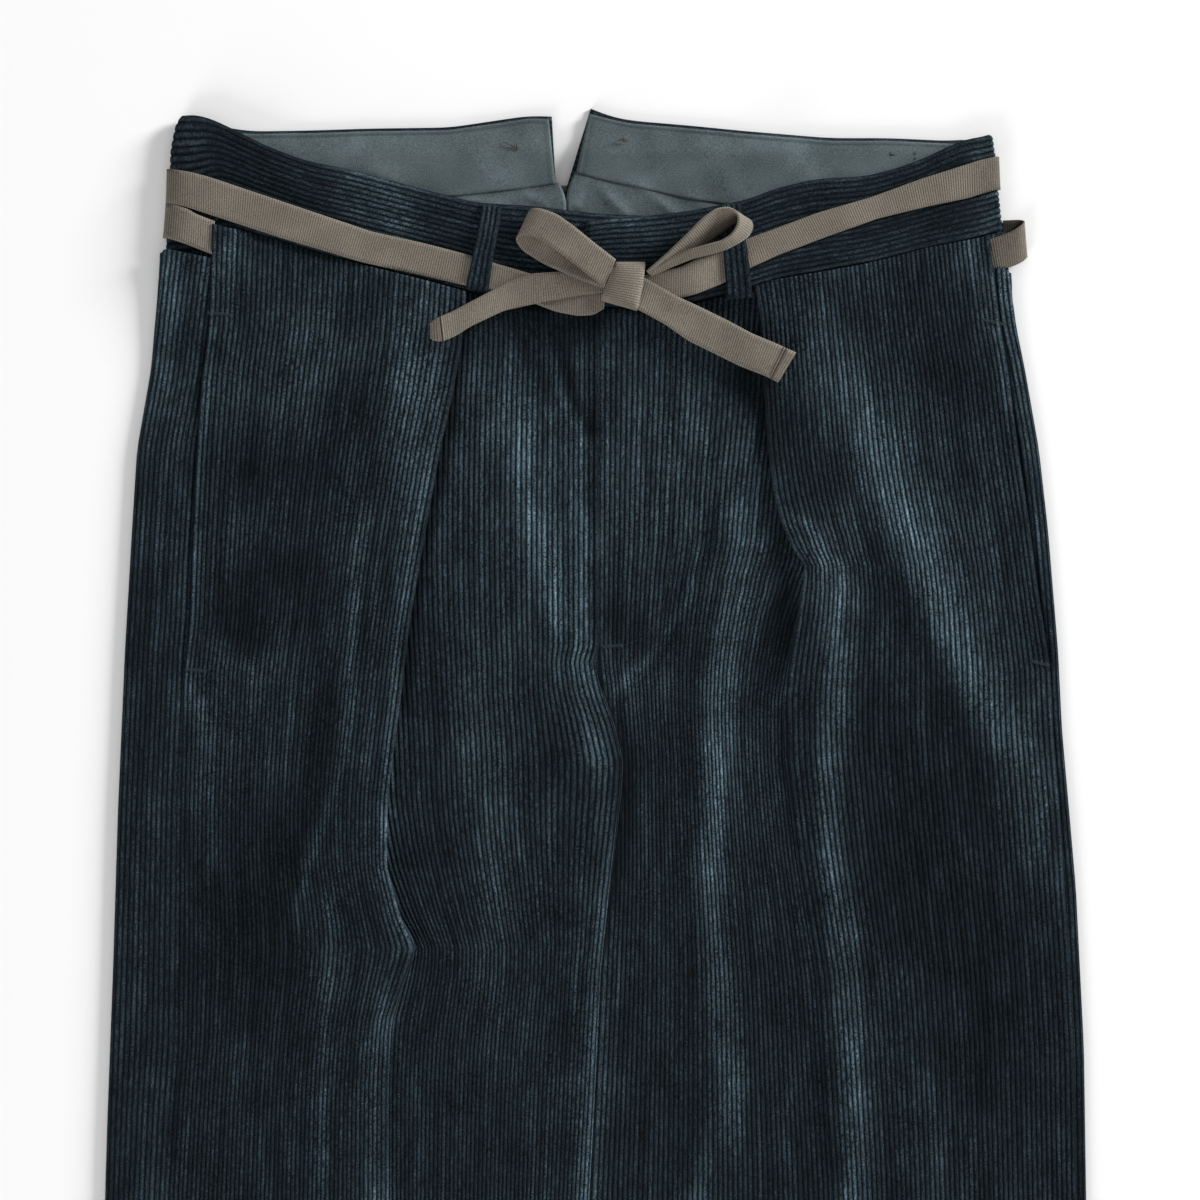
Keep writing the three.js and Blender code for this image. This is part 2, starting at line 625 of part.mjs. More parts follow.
tape("tape_run_left", [
  ...roundSide(203.4, 490.6, 473.6, 1, onBand).reverse(),
  [188, 487.3, onBand, 189, 470.9, onBand], [163.2, 479.5, onBand, 166, 465.6, onBand],
  [137.2, 470, onBand, 141, 459.5, onBand], [111.2, 462.5, onBand, 117, 451, onBand],
  [85.8, 453, onBand, 92, 441.6, onBand], [73.5, 448.6, onBand, 76.8, 434.6, onBand],
  [62, 444, onBand + 0.5, 63.2, 426.9, onBand + 0.5], [51, 439.5, onLap, 50, 421.6, onLap],
  [42.2, 435, onLap, 42, 419.6, onLap], [28.6, 431, onLap, 26.4, 417.5, onLap],
]);
const slitLevel = crossingRise + floorLevel + clothWall / 2 + seamGap + tapeWall / 2;
tape("tape_loop_left", [
  [197.9, 450.5, slitLevel, 199.8, 435, slitLevel], [203.5, 452, slitLevel, 203.5, 434.6, slitLevel],
  [209, 453.8, slitLevel - 0.1, 209, 435.6, slitLevel - 0.1], [213.6, 456, slitLevel - 0.6, 213.6, 438, slitLevel - 0.6],
  [216, 457, 2.9, 216, 440, 2.9], [215.4, 457.6, 1.3, 215.4, 440.6, 1.3],
  [213.4, 457.8, floorTape + 0.1, 213.4, 440.8, floorTape + 0.1],
]);

// Behind, one tape lies on the surface and the other climbs over it where they cross.
tape("tape_back_lower", [
  [-213.4, 466.6, floorTape, -213.4, 450, floorTape], [-120, 471.4, floorTape, -120, 456, floorTape],
  [100, 482, floorTape, 100, 466.6, floorTape], [203.2, 490.4, floorTape, 203.2, 473.6, floorTape],
]);
const overTape = floorTape + tapeWall + seamGap;
tape("tape_back_upper", [
  [-213.2, 484.4, floorTape, -213.2, 467.8, floorTape], [-196, 483, overTape, -196, 467.6, overTape],
  [-120, 477, overTape, -120, 461.6, overTape], [40, 464, overTape, 40, 448.6, overTape],
  [58, 462.4, floorTape, 58, 447, floorTape], [140, 458.6, floorTape, 140, 443, floorTape],
  [212.6, 457.8, floorTape, 212.6, 441, floorTape],
]);

// The bow: two loops and two tails round a knot that stands on the lapped front ends of the waistband.
const knotTop = onLap + knotHeight;
tape("bow_loop_right", [
  [7, 434.8, knotTop - 1.2, 2.6, 424.6, knotTop - 1.2], [-6.2, 453.5, onBand + 5.2, -11.2, 440.8, onBand + 5.2],
  [-18.8, 462.5, onBand + 4.6, -21.2, 451, onBand + 4.6], [-26.8, 464.7, onBand + 4, -27.8, 453.5, onBand + 4],
  [-33, 464, onBand + 3.4, -34, 452.4, onBand + 3.4], [-37, 461, onBand + 2.4, -39.4, 448.6, onBand + 2.4],
  [-37.4, 457.8, onBand + 0.8, -39.2, 445, onBand + 0.8], [-35.4, 456, onBand + 0.2, -35.8, 442.6, onBand + 0.2],
  [-27.8, 452.5, onBand + 0.1, -30.2, 439.5, onBand + 0.1], [-12.8, 444.6, onTape + 1.2, -16.2, 433.4, onTape + 2.4],
  [-4, 440, onLap + 2.8, -6, 429.6, onLap + 2.8], [4, 435.6, onLap + 2.9, 2.2, 425.4, onLap + 2.9],
]);
tape("bow_loop_left", [
  [26.8, 434.6, knotTop - 1, 28.4, 432.8, onLap + 2.6], [32.2, 438.4, knotTop + 1, 36, 436, onLap + 1.5],
  [46.2, 451.4, knotTop + 5, 50, 447, onLap + 1], [56.2, 461, knotTop + 6, 61, 456, onTape + 1.9],
  [64.2, 464.8, knotTop + 5, 69, 461, onTape + 2], [72.8, 463.4, knotTop + 3, 75.6, 461.5, onTape + 2],
  [78.2, 457.8, knotTop + 1, 78, 455.6, onTape + 2], [75, 452.4, knotTop, 74.6, 449.4, onTape + 2],
  [66, 449.4, knotTop - 1, 66, 444.6, onTape + 2], [55, 446.2, knotTop - 2, 56.4, 440.4, onLap + 1.6],
  [42, 440.2, knotTop - 2.6, 44, 435.4, onLap + 1.5], [31, 432.4, knotTop - 2.8, 31.6, 429.4, onLap + 1.5],
]);
tape("bow_tail_right", [
  [2.6, 428, onLap + 1.5, 2.6, 422.6, onLap + 1.5], [-5, 431, onLap + 1.5, -4.6, 421.4, onLap + 1.5],
  [-16.2, 433, onTape + 1.2, -13, 420, onTape + 1.5],
  [-31.8, 432, onTape + 0.1, -31.8, 416.5, onTape + 0.1], [-43.2, 428, onTape + 0.1, -45.8, 413.4, onTape + 0.1],
  [-62.2, 418, onTape + 1.2, -62.2, 405.6, onTape + 1], [-71.4, 413, onTape + 1.5, -70, 400.6, onTape + 1.3],
  [-80.2, 409.5, onTape + 2.4, -77.8, 396.8, onTape + 2.2],
]);
tape("bow_tail_left", [
  [27.4, 428.6, onLap + 1.4, 22.4, 413.4, onLap + 1.4], [39.8, 421, onLap + 1.4, 34.8, 406.5, onLap + 0.6],
  [52.8, 415, onLap + 0.2, 46.2, 398.5, onLap - 1.6], [65.2, 409, onBand + 1.3, 60, 391.8, onBand - 0.4],
  [78.2, 402, onBand + 2.4, 72.4, 385.6, onBand + 1], [90.8, 396.8, onBand + 2.9, 84.2, 381, onBand + 2.2],
  [100.2, 392.5, onBand + 2.4, 91.2, 377.5, onBand + 1.8],
]);

// The knot, a rounded pad over the crossing tapes: ellipse-like rows that swell from both ends.
const knotSize = { x: 15.4, y: 427.4, across: 20, along: 23.5, lean: 0.24, clear: 0.1 };
const knotRows = table(
  ["share", "width", "height"],
  [
    [0, 0.86, 0.4], [0.12, 0.95, 0.8], [0.5, 0.93, 1], [0.88, 0.96, 0.8], [1, 0.9, 0.4],
  ],
);
const knotProfile = table(
  ["half", "high"],
  [
    [-1, 0], [1, 0], [1, 0.6], [0.75, 0.92], [0, 1], [-0.75, 0.92], [-1, 0.6],
  ],
);

function knot() {
  const lowest = onLap - tapeWall / 2 + knotSize.clear;
  const sections = knotRows.map((row) => {
    const along = (0.5 - row.share) * knotSize.along;
    const half = (knotSize.across * row.width) / 2;
    const top = (knotTop - lowest) * row.height;
    const x = knotSize.x + along * knotSize.lean;
    return knotProfile.map((p) => new THREE.Vector3(x + p.half * half, knotSize.y + along, lowest + p.high * top));
  });
  const count = sections[0].length;
  const points = sections.flat();
  const faces = [];
  for (let s = 0; s < sections.length - 1; s++) {
    for (let k = 0; k < count; k++) {
      const a = s * count + k;
      const b = s * count + ((k + 1) % count);
      faces.push([a, b, b + count], [a, b + count, a + count]);
    }
  }
  const end = (sections.length - 1) * count;
  for (let k = 1; k < count - 1; k++) faces.push([0, k + 1, k], [end, end + k, end + k + 1]);
  add("bow_knot", toGeometry(points, faces), ribbedTape);
}
knot();

export default group;
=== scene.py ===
import math
import bpy
import numpy as np
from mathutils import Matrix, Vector


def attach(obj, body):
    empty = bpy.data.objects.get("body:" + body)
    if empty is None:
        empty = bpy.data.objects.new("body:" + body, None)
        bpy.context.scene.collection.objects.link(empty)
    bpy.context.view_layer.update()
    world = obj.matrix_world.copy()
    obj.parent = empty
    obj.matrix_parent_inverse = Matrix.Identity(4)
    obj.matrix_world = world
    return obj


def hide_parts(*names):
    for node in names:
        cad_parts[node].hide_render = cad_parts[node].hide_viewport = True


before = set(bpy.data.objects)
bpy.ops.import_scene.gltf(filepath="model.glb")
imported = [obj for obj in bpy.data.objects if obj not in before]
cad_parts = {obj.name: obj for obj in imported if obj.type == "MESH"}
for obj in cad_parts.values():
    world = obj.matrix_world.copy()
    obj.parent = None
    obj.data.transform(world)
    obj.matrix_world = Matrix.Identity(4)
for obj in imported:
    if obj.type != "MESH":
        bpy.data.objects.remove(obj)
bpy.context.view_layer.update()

# Corduroy trousers laid flat on their back. All sizes below are millimetres, with the wearer's own right and
# left. X runs towards the left leg, Y from the hems to the waist and Z up from the surface.
mm = 0.001
sides = ("right", "left")
outward = {"right": -1, "left": 1}

def named(columns, rows):
    # a table with named columns, sorted by its first one
    keys = columns.split()
    data = np.array(sorted(rows), dtype=float)
    return {key: data[:, k] for k, key in enumerate(keys)}

def read(table, column, at, soften=0.0):
    # the column at these values of the table's first column, averaged over a bell of half-width soften
    key = next(iter(table))
    if soften == 0:
        return np.interp(at, table[key], table[column])
    steps = np.linspace(-2, 2, 9)
    weights = bell(steps, 1)
    shifted = [w * np.interp(at + soften * s, table[key], table[column]) for s, w in zip(steps, weights)]
    return np.sum(shifted, axis=0) / weights.sum()

def ramp(start, end, value):
    # 0 before start, 1 after end and t squared times (3 - 2 t) between them
    t = np.clip((value - start) / (end - start), 0, 1)
    return t * t * (3 - 2 * t)

def mix(a, b, t):
    # a plus t times the way from a to b
    return a + (b - a) * t

def bell(distance, width):
    # e to the power of minus the square of distance over width
    return np.exp(-(distance / width) ** 2)

def distances(points):
    # how far along its line each point lies
    steps = np.linalg.norm(np.diff(points, axis=0), axis=1)
    return np.concatenate([[0], np.cumsum(steps)])

def columnsAt(at, reach, points):
    # all columns of the points, read in proportion between the points' own distances
    return np.stack([np.interp(at, reach, column) for column in points.T], axis=1)

# meshes

def makeMesh(name, points, faces, uv=None, napAndPaintedLight=None, smooth=True):
    # points in millimetres; faces is a list of index arrays, one for each number of corners
    mesh = bpy.data.meshes.new(name)
    corners = np.concatenate([f.ravel() for f in faces]).astype(np.int32)
    totals = np.concatenate([np.full(len(f), f.shape[1]) for f in faces]).astype(np.int32)
    starts = np.concatenate([[0], np.cumsum(totals)[:-1]]).astype(np.int32)
    mesh.vertices.add(len(points))
    mesh.vertices.foreach_set("co", (points * mm).astype(np.float32).ravel())
    mesh.loops.add(len(corners))
    mesh.loops.foreach_set("vertex_index", corners)
    mesh.polygons.add(len(totals))
    mesh.polygons.foreach_set("loop_start", starts)
    mesh.polygons.foreach_set("loop_total", totals)
    mesh.polygons.foreach_set("use_smooth", np.full(len(totals), smooth))
    if uv is not None:
        layer = mesh.uv_layers.new(name="cloth")
        layer.data.foreach_set("uv", uv[corners].astype(np.float32).ravel())
    # this attribute carries painted light and shade, and on the corduroy also the pile's brushing
    if napAndPaintedLight is not None:
        mesh.attributes.new("napAndPaintedLight", "FLOAT", "POINT").data.foreach_set("value", napAndPaintedLight.astype(np.float32))
    mesh.update(calc_edges=True)
    mesh.validate()
    piece = bpy.data.objects.new(name, mesh)
    bpy.context.scene.collection.objects.link(piece)
    return piece

def gridFaces(index, turned=False):
    # one quad between each four neighbouring numbers of a grid
    quads = np.stack([index[:-1, :-1], index[:-1, 1:], index[1:, 1:], index[1:, :-1]], axis=-1).reshape(-1, 4)
    return quads[:, ::-1] if turned else quads

def gridNormals(mid):
    # the cross product of the grid's two directions
    across = np.gradient(mid, axis=1)
    along = np.gradient(mid, axis=0)
    normal = np.cross(across, along)
    return normal / np.maximum(np.linalg.norm(normal, axis=2, keepdims=True), 1e-9)

def gridPair(first, second, shape):
    # two values, each spread over the grid, as one array of pairs
    return np.stack([np.broadcast_to(first, shape), np.broadcast_to(second, shape)], axis=-1)

def shell(name, mid, uv, up, down, coarse=1, facing=1, napAndPaintedLight=0.0, innerNapAndPaintedLight=None):
    # a closed thin wall about a grid of middle points: the outer side lies up above them along the normal
    # and keeps every column, the inner side lies down below them and keeps one in coarse
    rows, columns, _ = mid.shape
    normal = gridNormals(mid) * facing
    keep = np.unique(np.append(np.arange(0, columns, coarse), columns - 1))
    kept = len(keep)
    outer = mid + normal * np.broadcast_to(up, (rows, columns))[..., None]
    inner = (mid - normal * np.broadcast_to(down, (rows, columns))[..., None])[:, keep]
    outerIndex = np.arange(rows * columns).reshape(rows, columns)
    innerIndex = rows * columns + np.arange(rows * kept).reshape(rows, kept)
    flip = facing < 0
    quads = [gridFaces(outerIndex, flip), gridFaces(innerIndex, not flip)]
    for column, turned in ((0, False), (-1, True)):
        a, b = outerIndex[:, column], innerIndex[:, column]
        rim = np.stack([a[:-1], a[1:], b[1:], b[:-1]], axis=1)
        quads.append(rim[:, ::-1] if turned != flip else rim)
    # the ends join every outer column to its nearest inner one
    nearest = np.searchsorted((keep[:-1] + keep[1:]) / 2, np.arange(columns - 1) + 0.5)
    switch = np.array([np.searchsorted(nearest, k + 1) for k in range(kept - 1)])
    triangles = []
    for row, turned in ((0, True), (rows - 1, False)):
        a, b = outerIndex[row], innerIndex[row]
        fan = np.stack([a[:-1], a[1:], b[nearest]], axis=1)
        back = np.stack([b[:-1], a[switch], b[1:]], axis=1)
        both = np.concatenate([fan, back])
        triangles.append(both[:, ::-1] if turned != flip else both)
    points = np.concatenate([outer.reshape(-1, 3), inner.reshape(-1, 3)])
    uvAll = np.concatenate([uv.reshape(-1, 2), uv[:, keep].reshape(-1, 2)])
    outerNapAndPaintedLight = np.broadcast_to(napAndPaintedLight, (rows, columns))
    innerNapAndPaintedLight = np.broadcast_to(napAndPaintedLight if innerNapAndPaintedLight is None else innerNapAndPaintedLight, (rows, columns))
    allNapAndPaintedLight = np.concatenate([outerNapAndPaintedLight.ravel(), innerNapAndPaintedLight[:, keep].ravel()])
    piece = makeMesh(name, points, [np.concatenate(quads), np.concatenate(triangles)], uvAll, allNapAndPaintedLight)
    return piece, outer

def finishPiece(piece, material, nodes=()):
    # the piece gets its finish and takes the place of these nodes
    piece.data.materials.append(material)
    if nodes:
        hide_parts(*nodes)
    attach(piece, "root")

# node groups

def newGroup(name, inputs, outputs):
    # a shader node group with its named inputs and outputs
    group = bpy.data.node_groups.new(name, "ShaderNodeTree")
    for label, value in inputs.items():
        socket = group.interface.new_socket(name=label, in_out="INPUT", socket_type="NodeSocketFloat")
        socket.default_value = value
    for label in outputs:
        group.interface.new_socket(name=label, in_out="OUTPUT", socket_type="NodeSocketFloat")
    return group, group.nodes.new("NodeGroupInput").outputs, group.nodes.new("NodeGroupOutput").inputs

def feed(tree, socket, value):
    # links a socket's value, or sets a plain one
    if isinstance(value, bpy.types.NodeSocket):
        tree.links.new(value, socket)
    else:
        socket.default_value = value

def node(tree, kind, links=None, **values):
    # a node with its settings, and its inputs fed by name or number
    made = tree.nodes.new(kind)
    for key, value in values.items():
        setattr(made, key, value)
    for key, value in (links or {}).items():
        feed(tree, made.inputs[key], value)
    return made

def maths(tree, operation, a, b=0.0, c=0.0):
    # one operation on up to three values
    return node(tree, "ShaderNodeMath", {0: a, 1: b, 2: c}, operation=operation).outputs[0]

def spread(tree, value, low, high, newLow=0.0, newHigh=1.0):
    # the value moved smoothly from the span low to high onto newLow to newHigh
    links = {"Value": value, "From Min": low, "From Max": high, "To Min": newLow, "To Max": newHigh}
    return node(tree, "ShaderNodeMapRange", links, interpolation_type="SMOOTHSTEP").outputs["Result"]

def blendColours(tree, factor, a, b):
    # colour a where the factor is 0, colour b where it is 1
    made = node(tree, "ShaderNodeMix", {0: factor, 6: a, 7: b}, data_type="RGBA")
    return made.outputs[2]

def colour(tree, value, brightness):
    # value times brightness, as a colour
    return node(tree, "ShaderNodeVectorMath", {0: value, "Scale": brightness}, operation="SCALE").outputs[0]

def noise(tree, place, scale, detail, roughness=0.5):
    # cloudy values about one half
    links = {"Vector": place, "Scale": scale, "Detail": detail, "Roughness": roughness}
    return node(tree, "ShaderNodeTexNoise", links).outputs["Fac"]

def makeFibreGroup():
    # uneven dye and loose fibre: brightness is 1 + depth times a slow wander + speck times a fine grain, and
    # the grain is also a height for the bump
    group, inside, outside = newGroup(
        "uneven fibre", {"Patch": 25.0, "Grain": 900.0, "Depth": 0.3, "Speck": 0.2}, ("Brightness", "Height"))
    place = node(group, "ShaderNodeTexCoord").outputs["Object"]
    patch = noise(group, place, inside["Patch"], 4.0)
    grain = noise(group, place, inside["Grain"], 3.0)
    wander = maths(group, "SUBTRACT", spread(group, patch, 0.25, 0.75, 0.0, 2.0), 1.0)
    speck = maths(group, "SUBTRACT", maths(group, "MULTIPLY", grain, 2.0), 1.0)
    bright = maths(group, "MULTIPLY_ADD", wander, inside["Depth"], 1.0)
    bright = maths(group, "MULTIPLY_ADD", speck, inside["Speck"], bright)
    group.links.new(bright, outside["Brightness"])
    group.links.new(grain, outside["Height"])
    return group

def makeRibGroup():
    # ribs counted across the cloth: a mask that is 0 in each valley, a tone for each rib that changes slowly
    # along it, short brushed streaks and a mottle that spans several ribs
    group, inside, outside = newGroup(
        "ribs along the cloth", {"Across": 0.0, "Along": 0.0, "Valley": 0.3},
        ("Ridge", "Rib", "Brushed", "Mottled"))
    across, along = inside["Across"], inside["Along"]

    def streaks(x, alongRate, scale, detail, roughness=0.5):
        # noise at x and at the distance along the ribs times a rate
        y = maths(group, "MULTIPLY", along, alongRate)
        place = node(group, "ShaderNodeCombineXYZ", {"X": x, "Y": y}).outputs[0]
        return noise(group, place, scale, detail, roughness)

    count = maths(group, "SUBTRACT", across, maths(group, "FRACT", across))
    fromValley = maths(group, "PINGPONG", across, 0.5)
    group.links.new(spread(group, fromValley, 0.0, inside["Valley"]), outside["Ridge"])
    group.links.new(streaks(count, 0.03, 0.9, 2.0), outside["Rib"])
    group.links.new(streaks(maths(group, "MULTIPLY", across, 2.2), 0.5, 1.0, 3.0), outside["Brushed"])
    group.links.new(streaks(maths(group, "MULTIPLY", across, 0.3), 0.09, 1.0, 4.0, 0.65), outside["Mottled"])
    return group

fibreGroup = makeFibreGroup()
ribGroup = makeRibGroup()

def placeGroup(tree, group, **values):
    # a group placed in a material with values of its own
    made = tree.nodes.new("ShaderNodeGroup")
    made.node_tree = group
    for key, value in values.items():
        feed(tree, made.inputs[key], value)
    return made.outputs

# materials

def newMaterial(name, look):
    # a matt cloth with its sheen and its uneven fibre
    material = bpy.data.materials.new(name)
    material.use_nodes = True
    tree = material.node_tree
    shader = tree.nodes["Principled BSDF"].inputs
    shader["Roughness"].default_value = look["roughness"]
    shader["Specular IOR Level"].default_value = 0.06
    shader["Sheen Weight"].default_value = look["sheen"]
    shader["Sheen Tint"].default_value = (*look["sheenTint"], 1)
    shader["Sheen Roughness"].default_value = 0.5
    fibre = placeGroup(tree, fibreGroup, Patch=look["patch"], Grain=look["grain"], Depth=look["uneven"],
                       Speck=look["speck"])
    return material, tree, shader, fibre

def clothAxes(tree):
    # ribs counted across the cloth and along it, from the piece's UV map
    uv = node(tree, "ShaderNodeUVMap", uv_map="cloth").outputs[0]
    return node(tree, "ShaderNodeSeparateXYZ", {0: uv}).outputs

def napAndPaintedLightOf(tree):
    # painted light and shade, with how far the pile is brushed up, from the piece's attribute
    return node(tree, "ShaderNodeAttribute", attribute_name="napAndPaintedLight").outputs["Fac"]

def linkCloth(tree, shader, base, height, look):
    # the base colour, and a bump from the height
    tree.links.new(base, shader["Base Color"])
    links = {"Height": height, "Strength": look["bump"], "Distance": look["bumpDepth"] * mm}
    tree.links.new(node(tree, "ShaderNodeBump", links).outputs[0], shader["Normal"])

# the valley colour is painted shade in the grooves between the wales
corduroyLook = {
    "ridge": (0.0142, 0.0216, 0.0266), "valley": (0.0018, 0.0056, 0.0092), "valleyWidth": 0.48,
    "napAndPaintedLightGain": 2.15, "ribGain": 3.2, "brushGain": 3.6, "mottleGain": 4.2, "valleyGain": 0.22,
    "roughness": 0.85, "sheen": 0.05, "sheenTint": (0.7, 0.8, 0.85),
    "patch": 40.0, "grain": 1300.0, "uneven": 0.2, "speck": 2.6, "bump": 0.5, "bumpDepth": 0.2,
}

def makeCorduroy(look):
    # the pile's brightness is 2 to the power of its nap with its painted light and shade, its rib's own tone
    # and its brushed streaks, added up; the valleys take a darker colour, painted shade in the grooves
    # between the wales, and follow a part of that power
    material, tree, shader, fibre = newMaterial("corduroy", look)
    across, along, _ = clothAxes(tree)
    ribs = placeGroup(tree, ribGroup, Across=across, Along=along, Valley=look["valleyWidth"])
    power = maths(tree, "MULTIPLY", napAndPaintedLightOf(tree), look["napAndPaintedLightGain"])
    for tone, gain in (("Mottled", "mottleGain"), ("Rib", "ribGain"), ("Brushed", "brushGain")):
        centred = maths(tree, "SUBTRACT", ribs[tone], 0.5)
        power = maths(tree, "MULTIPLY_ADD", centred, look[gain], power)
    valleyPower = maths(tree, "MULTIPLY", power, look["valleyGain"])
    bright = maths(tree, "MULTIPLY", maths(tree, "POWER", 2.0, power), fibre["Brightness"])
    dim = maths(tree, "MULTIPLY", maths(tree, "POWER", 2.0, valleyPower), fibre["Brightness"])
    valley, ridge = colour(tree, look["valley"], dim), colour(tree, look["ridge"], bright)
    height = maths(tree, "ADD", fibre["Height"], ribs["Brushed"])
    linkCloth(tree, shader, blendColours(tree, ribs["Ridge"], valley, ridge), height, look)
    return material

liningLook = {
    "base": (0.088, 0.112, 0.118, 1), "dark": (0.055, 0.072, 0.078, 1), "weave": 0.45,
    "roughness": 0.8, "sheen": 0.1, "sheenTint": (0.8, 0.9, 0.95),
    "patch": 45.0, "grain": 1500.0, "uneven": 0.2, "speck": 1.0,
    "bump": 0.3, "bumpDepth": 0.15, "weaveHeight": 0.4,
}

def makeLining(look):
    # a plain weave: the product of two crossed sine waves, one thread every weave millimetres
    material, tree, shader, fibre = newMaterial("lining cloth", look)
    place = node(tree, "ShaderNodeTexCoord").outputs["Object"]
    x, y, _ = node(tree, "ShaderNodeSeparateXYZ", {0: place}).outputs
    rate = 2 * math.pi / (look["weave"] * mm)
    warp, weft = (maths(tree, "SINE", maths(tree, "MULTIPLY", axis, rate)) for axis in (x, y))
    weave = maths(tree, "MULTIPLY", warp, weft)
    cloth = blendColours(tree, spread(tree, weave, -1.0, 1.0, 0.25, 1.0), look["dark"], look["base"])
    # times 2 to the power of the painted light and shade on the lining's folds, stitch lines and edges
    bright = maths(tree, "MULTIPLY", maths(tree, "POWER", 2.0, napAndPaintedLightOf(tree)), fibre["Brightness"])
    height = maths(tree, "ADD", maths(tree, "MULTIPLY", weave, look["weaveHeight"]), fibre["Height"])
    linkCloth(tree, shader, colour(tree, cloth, bright), height, look)
    return material

# the valley colour is painted shade in the grooves between the tape's ribs
tapeLook = {
    "ridge": (0.196, 0.174, 0.143, 1), "valley": (0.088, 0.076, 0.061, 1), "valleyWidth": 0.34,
    "roughness": 0.8, "sheen": 0.15, "sheenTint": (0.95, 0.9, 0.8),
    "patch": 60.0, "grain": 1500.0, "uneven": 0.12, "speck": 0.7, "bump": 0.35, "bumpDepth": 0.2,
    "warpThreads": 20, "warpTone": 0.12, "warpHeight": 0.3,
}

def makeTape(look):
    # ribs across the tape, crossed by a sine wave of warp threads that run along it
    material, tree, shader, fibre = newMaterial("ribbed tape", look)
    across, along, _ = clothAxes(tree)
    ribs = placeGroup(tree, ribGroup, Across=along, Along=across, Valley=look["valleyWidth"])
    warp = maths(tree, "SINE", maths(tree, "MULTIPLY", across, 2 * math.pi * look["warpThreads"]))
    cloth = blendColours(tree, ribs["Ridge"], look["valley"], look["ridge"])
    bright = maths(tree, "MULTIPLY_ADD", warp, look["warpTone"], fibre["Brightness"])
    # times 2 to the power of the painted shade from the piece's attribute
    bright = maths(tree, "MULTIPLY", bright, maths(tree, "POWER", 2.0, napAndPaintedLightOf(tree)))
    height = maths(tree, "MULTIPLY_ADD", warp, look["warpHeight"], fibre["Height"])
    linkCloth(tree, shader, colour(tree, cloth, bright), height, look)
    return material

threadLook = {
    "navy": (0.012, 0.02, 0.025), "pale": (0.02, 0.032, 0.038), "brown": (0.045, 0.03, 0.02),
    "roughness": 0.6, "sheen": 0.1, "sheenTint": (1, 1, 1),
    "patch": 200.0, "grain": 4000.0, "uneven": 0.2, "speck": 0.2,
}

def makeThread(look, kind):
    # one colour with uneven fibre
    material, tree, shader, fibre = newMaterial(f"{kind} thread", look)
    tree.links.new(colour(tree, look[kind], fibre["Brightness"]), shader["Base Color"])
    return material

corduroy = makeCorduroy(corduroyLook)
lining = makeLining(liningLook)
ribbedTape = makeTape(tapeLook)
navyThread, paleThread, brownThread = (makeThread(threadLook, kind) for kind in ("navy", "pale", "brown"))
print("materials made")

# the shape of the laid garment, as in the solids

levels = {
    "floor": 0.7, "lay": 2.9, "waist": 5.4, "waistFrom": 385, "waistTo": 440, "band": 6.3, "facing": 5.0,
    "crossing": 2.6, "walePitch": 2.5,
}
crossingZone = {"start": 424, "full": 433, "end": 491, "stop": 504}
clothWall = {"up": 0.32, "down": 0.6, "downBehind": 0.5, "wale": 0.5, "floor": 0.7, "floorWale": 0.2}

outerFold = {
    "right": named("y x", [
        (444, -217), (418, -218.8), (384, -221.8), (344, -228.8), (304, -231.3), (244, -234.8),
        (164, -238.3), (84, -240.8), (4, -243.8), (-60, -245.6), (-300, -245.6), (-515, -243)]),
    "left": named("y x", [
        (434, 207.3), (418, 208.3), (406, 209.8), (384, 214.3), (344, 221.3), (304, 225.8), (244, 230.8),
        (204, 232.8), (164, 236.3), (124, 239.8), (44, 243.8), (-60, 245.3), (-300, 245.6), (-515, 243)]),
}
sideEdge = {
    "right": named("y x", [
        (458, -191.3), (411, -193), (383, -196.8), (346, -199.3), (302, -201.3), (258, -202.8),
        (232, -205.8), (165, -207.3), (48, -208.3), (15, -210.8), (-30, -213.3), (-300, -216),
        (-515, -214)]),
    "left": named("y x", [
        (451, 196.8), (406, 202.3), (382, 206.8), (344, 211.5), (313, 216.3), (275, 221.3), (249, 225.3),
        (234, 227.6), (204, 229), (164, 232.3), (84, 237.6), (44, 239.6), (-60, 241), (-300, 241.4),
        (-515, 239)]),
}
slitEnd = {"right": 233, "left": 237}
meetingLine = named("y x", [
    (416, 2), (246, 2), (238, -1), (222, 3.5), (207, 8.8), (190, 13), (184, 13.2), (169, 12), (127, 7.3),
    (84, 2.8), (32, 0.3), (-30, -3), (-150, -8), (-300, -13), (-515, -17)])
legGap = named("y gap", [
    (260, 0.8), (244, 2.4), (222, 2.0), (84, 1.7), (-36, 1.7), (-70, 3), (-150, 10), (-300, 20), (-515, 31)])
grainLine = named("y x", [
    (422, 2), (246, 2), (222, 3), (190, 6), (130, 5), (84, 2.5), (-30, -3), (-515, -17)])
fly = {
    "lowEnd": 246, "overlap": 9, "lapFade": 4, "lift": 1.9, "flat": 12, "fade": 34,
    "crotchY": 222, "foldEnd": 240,
}
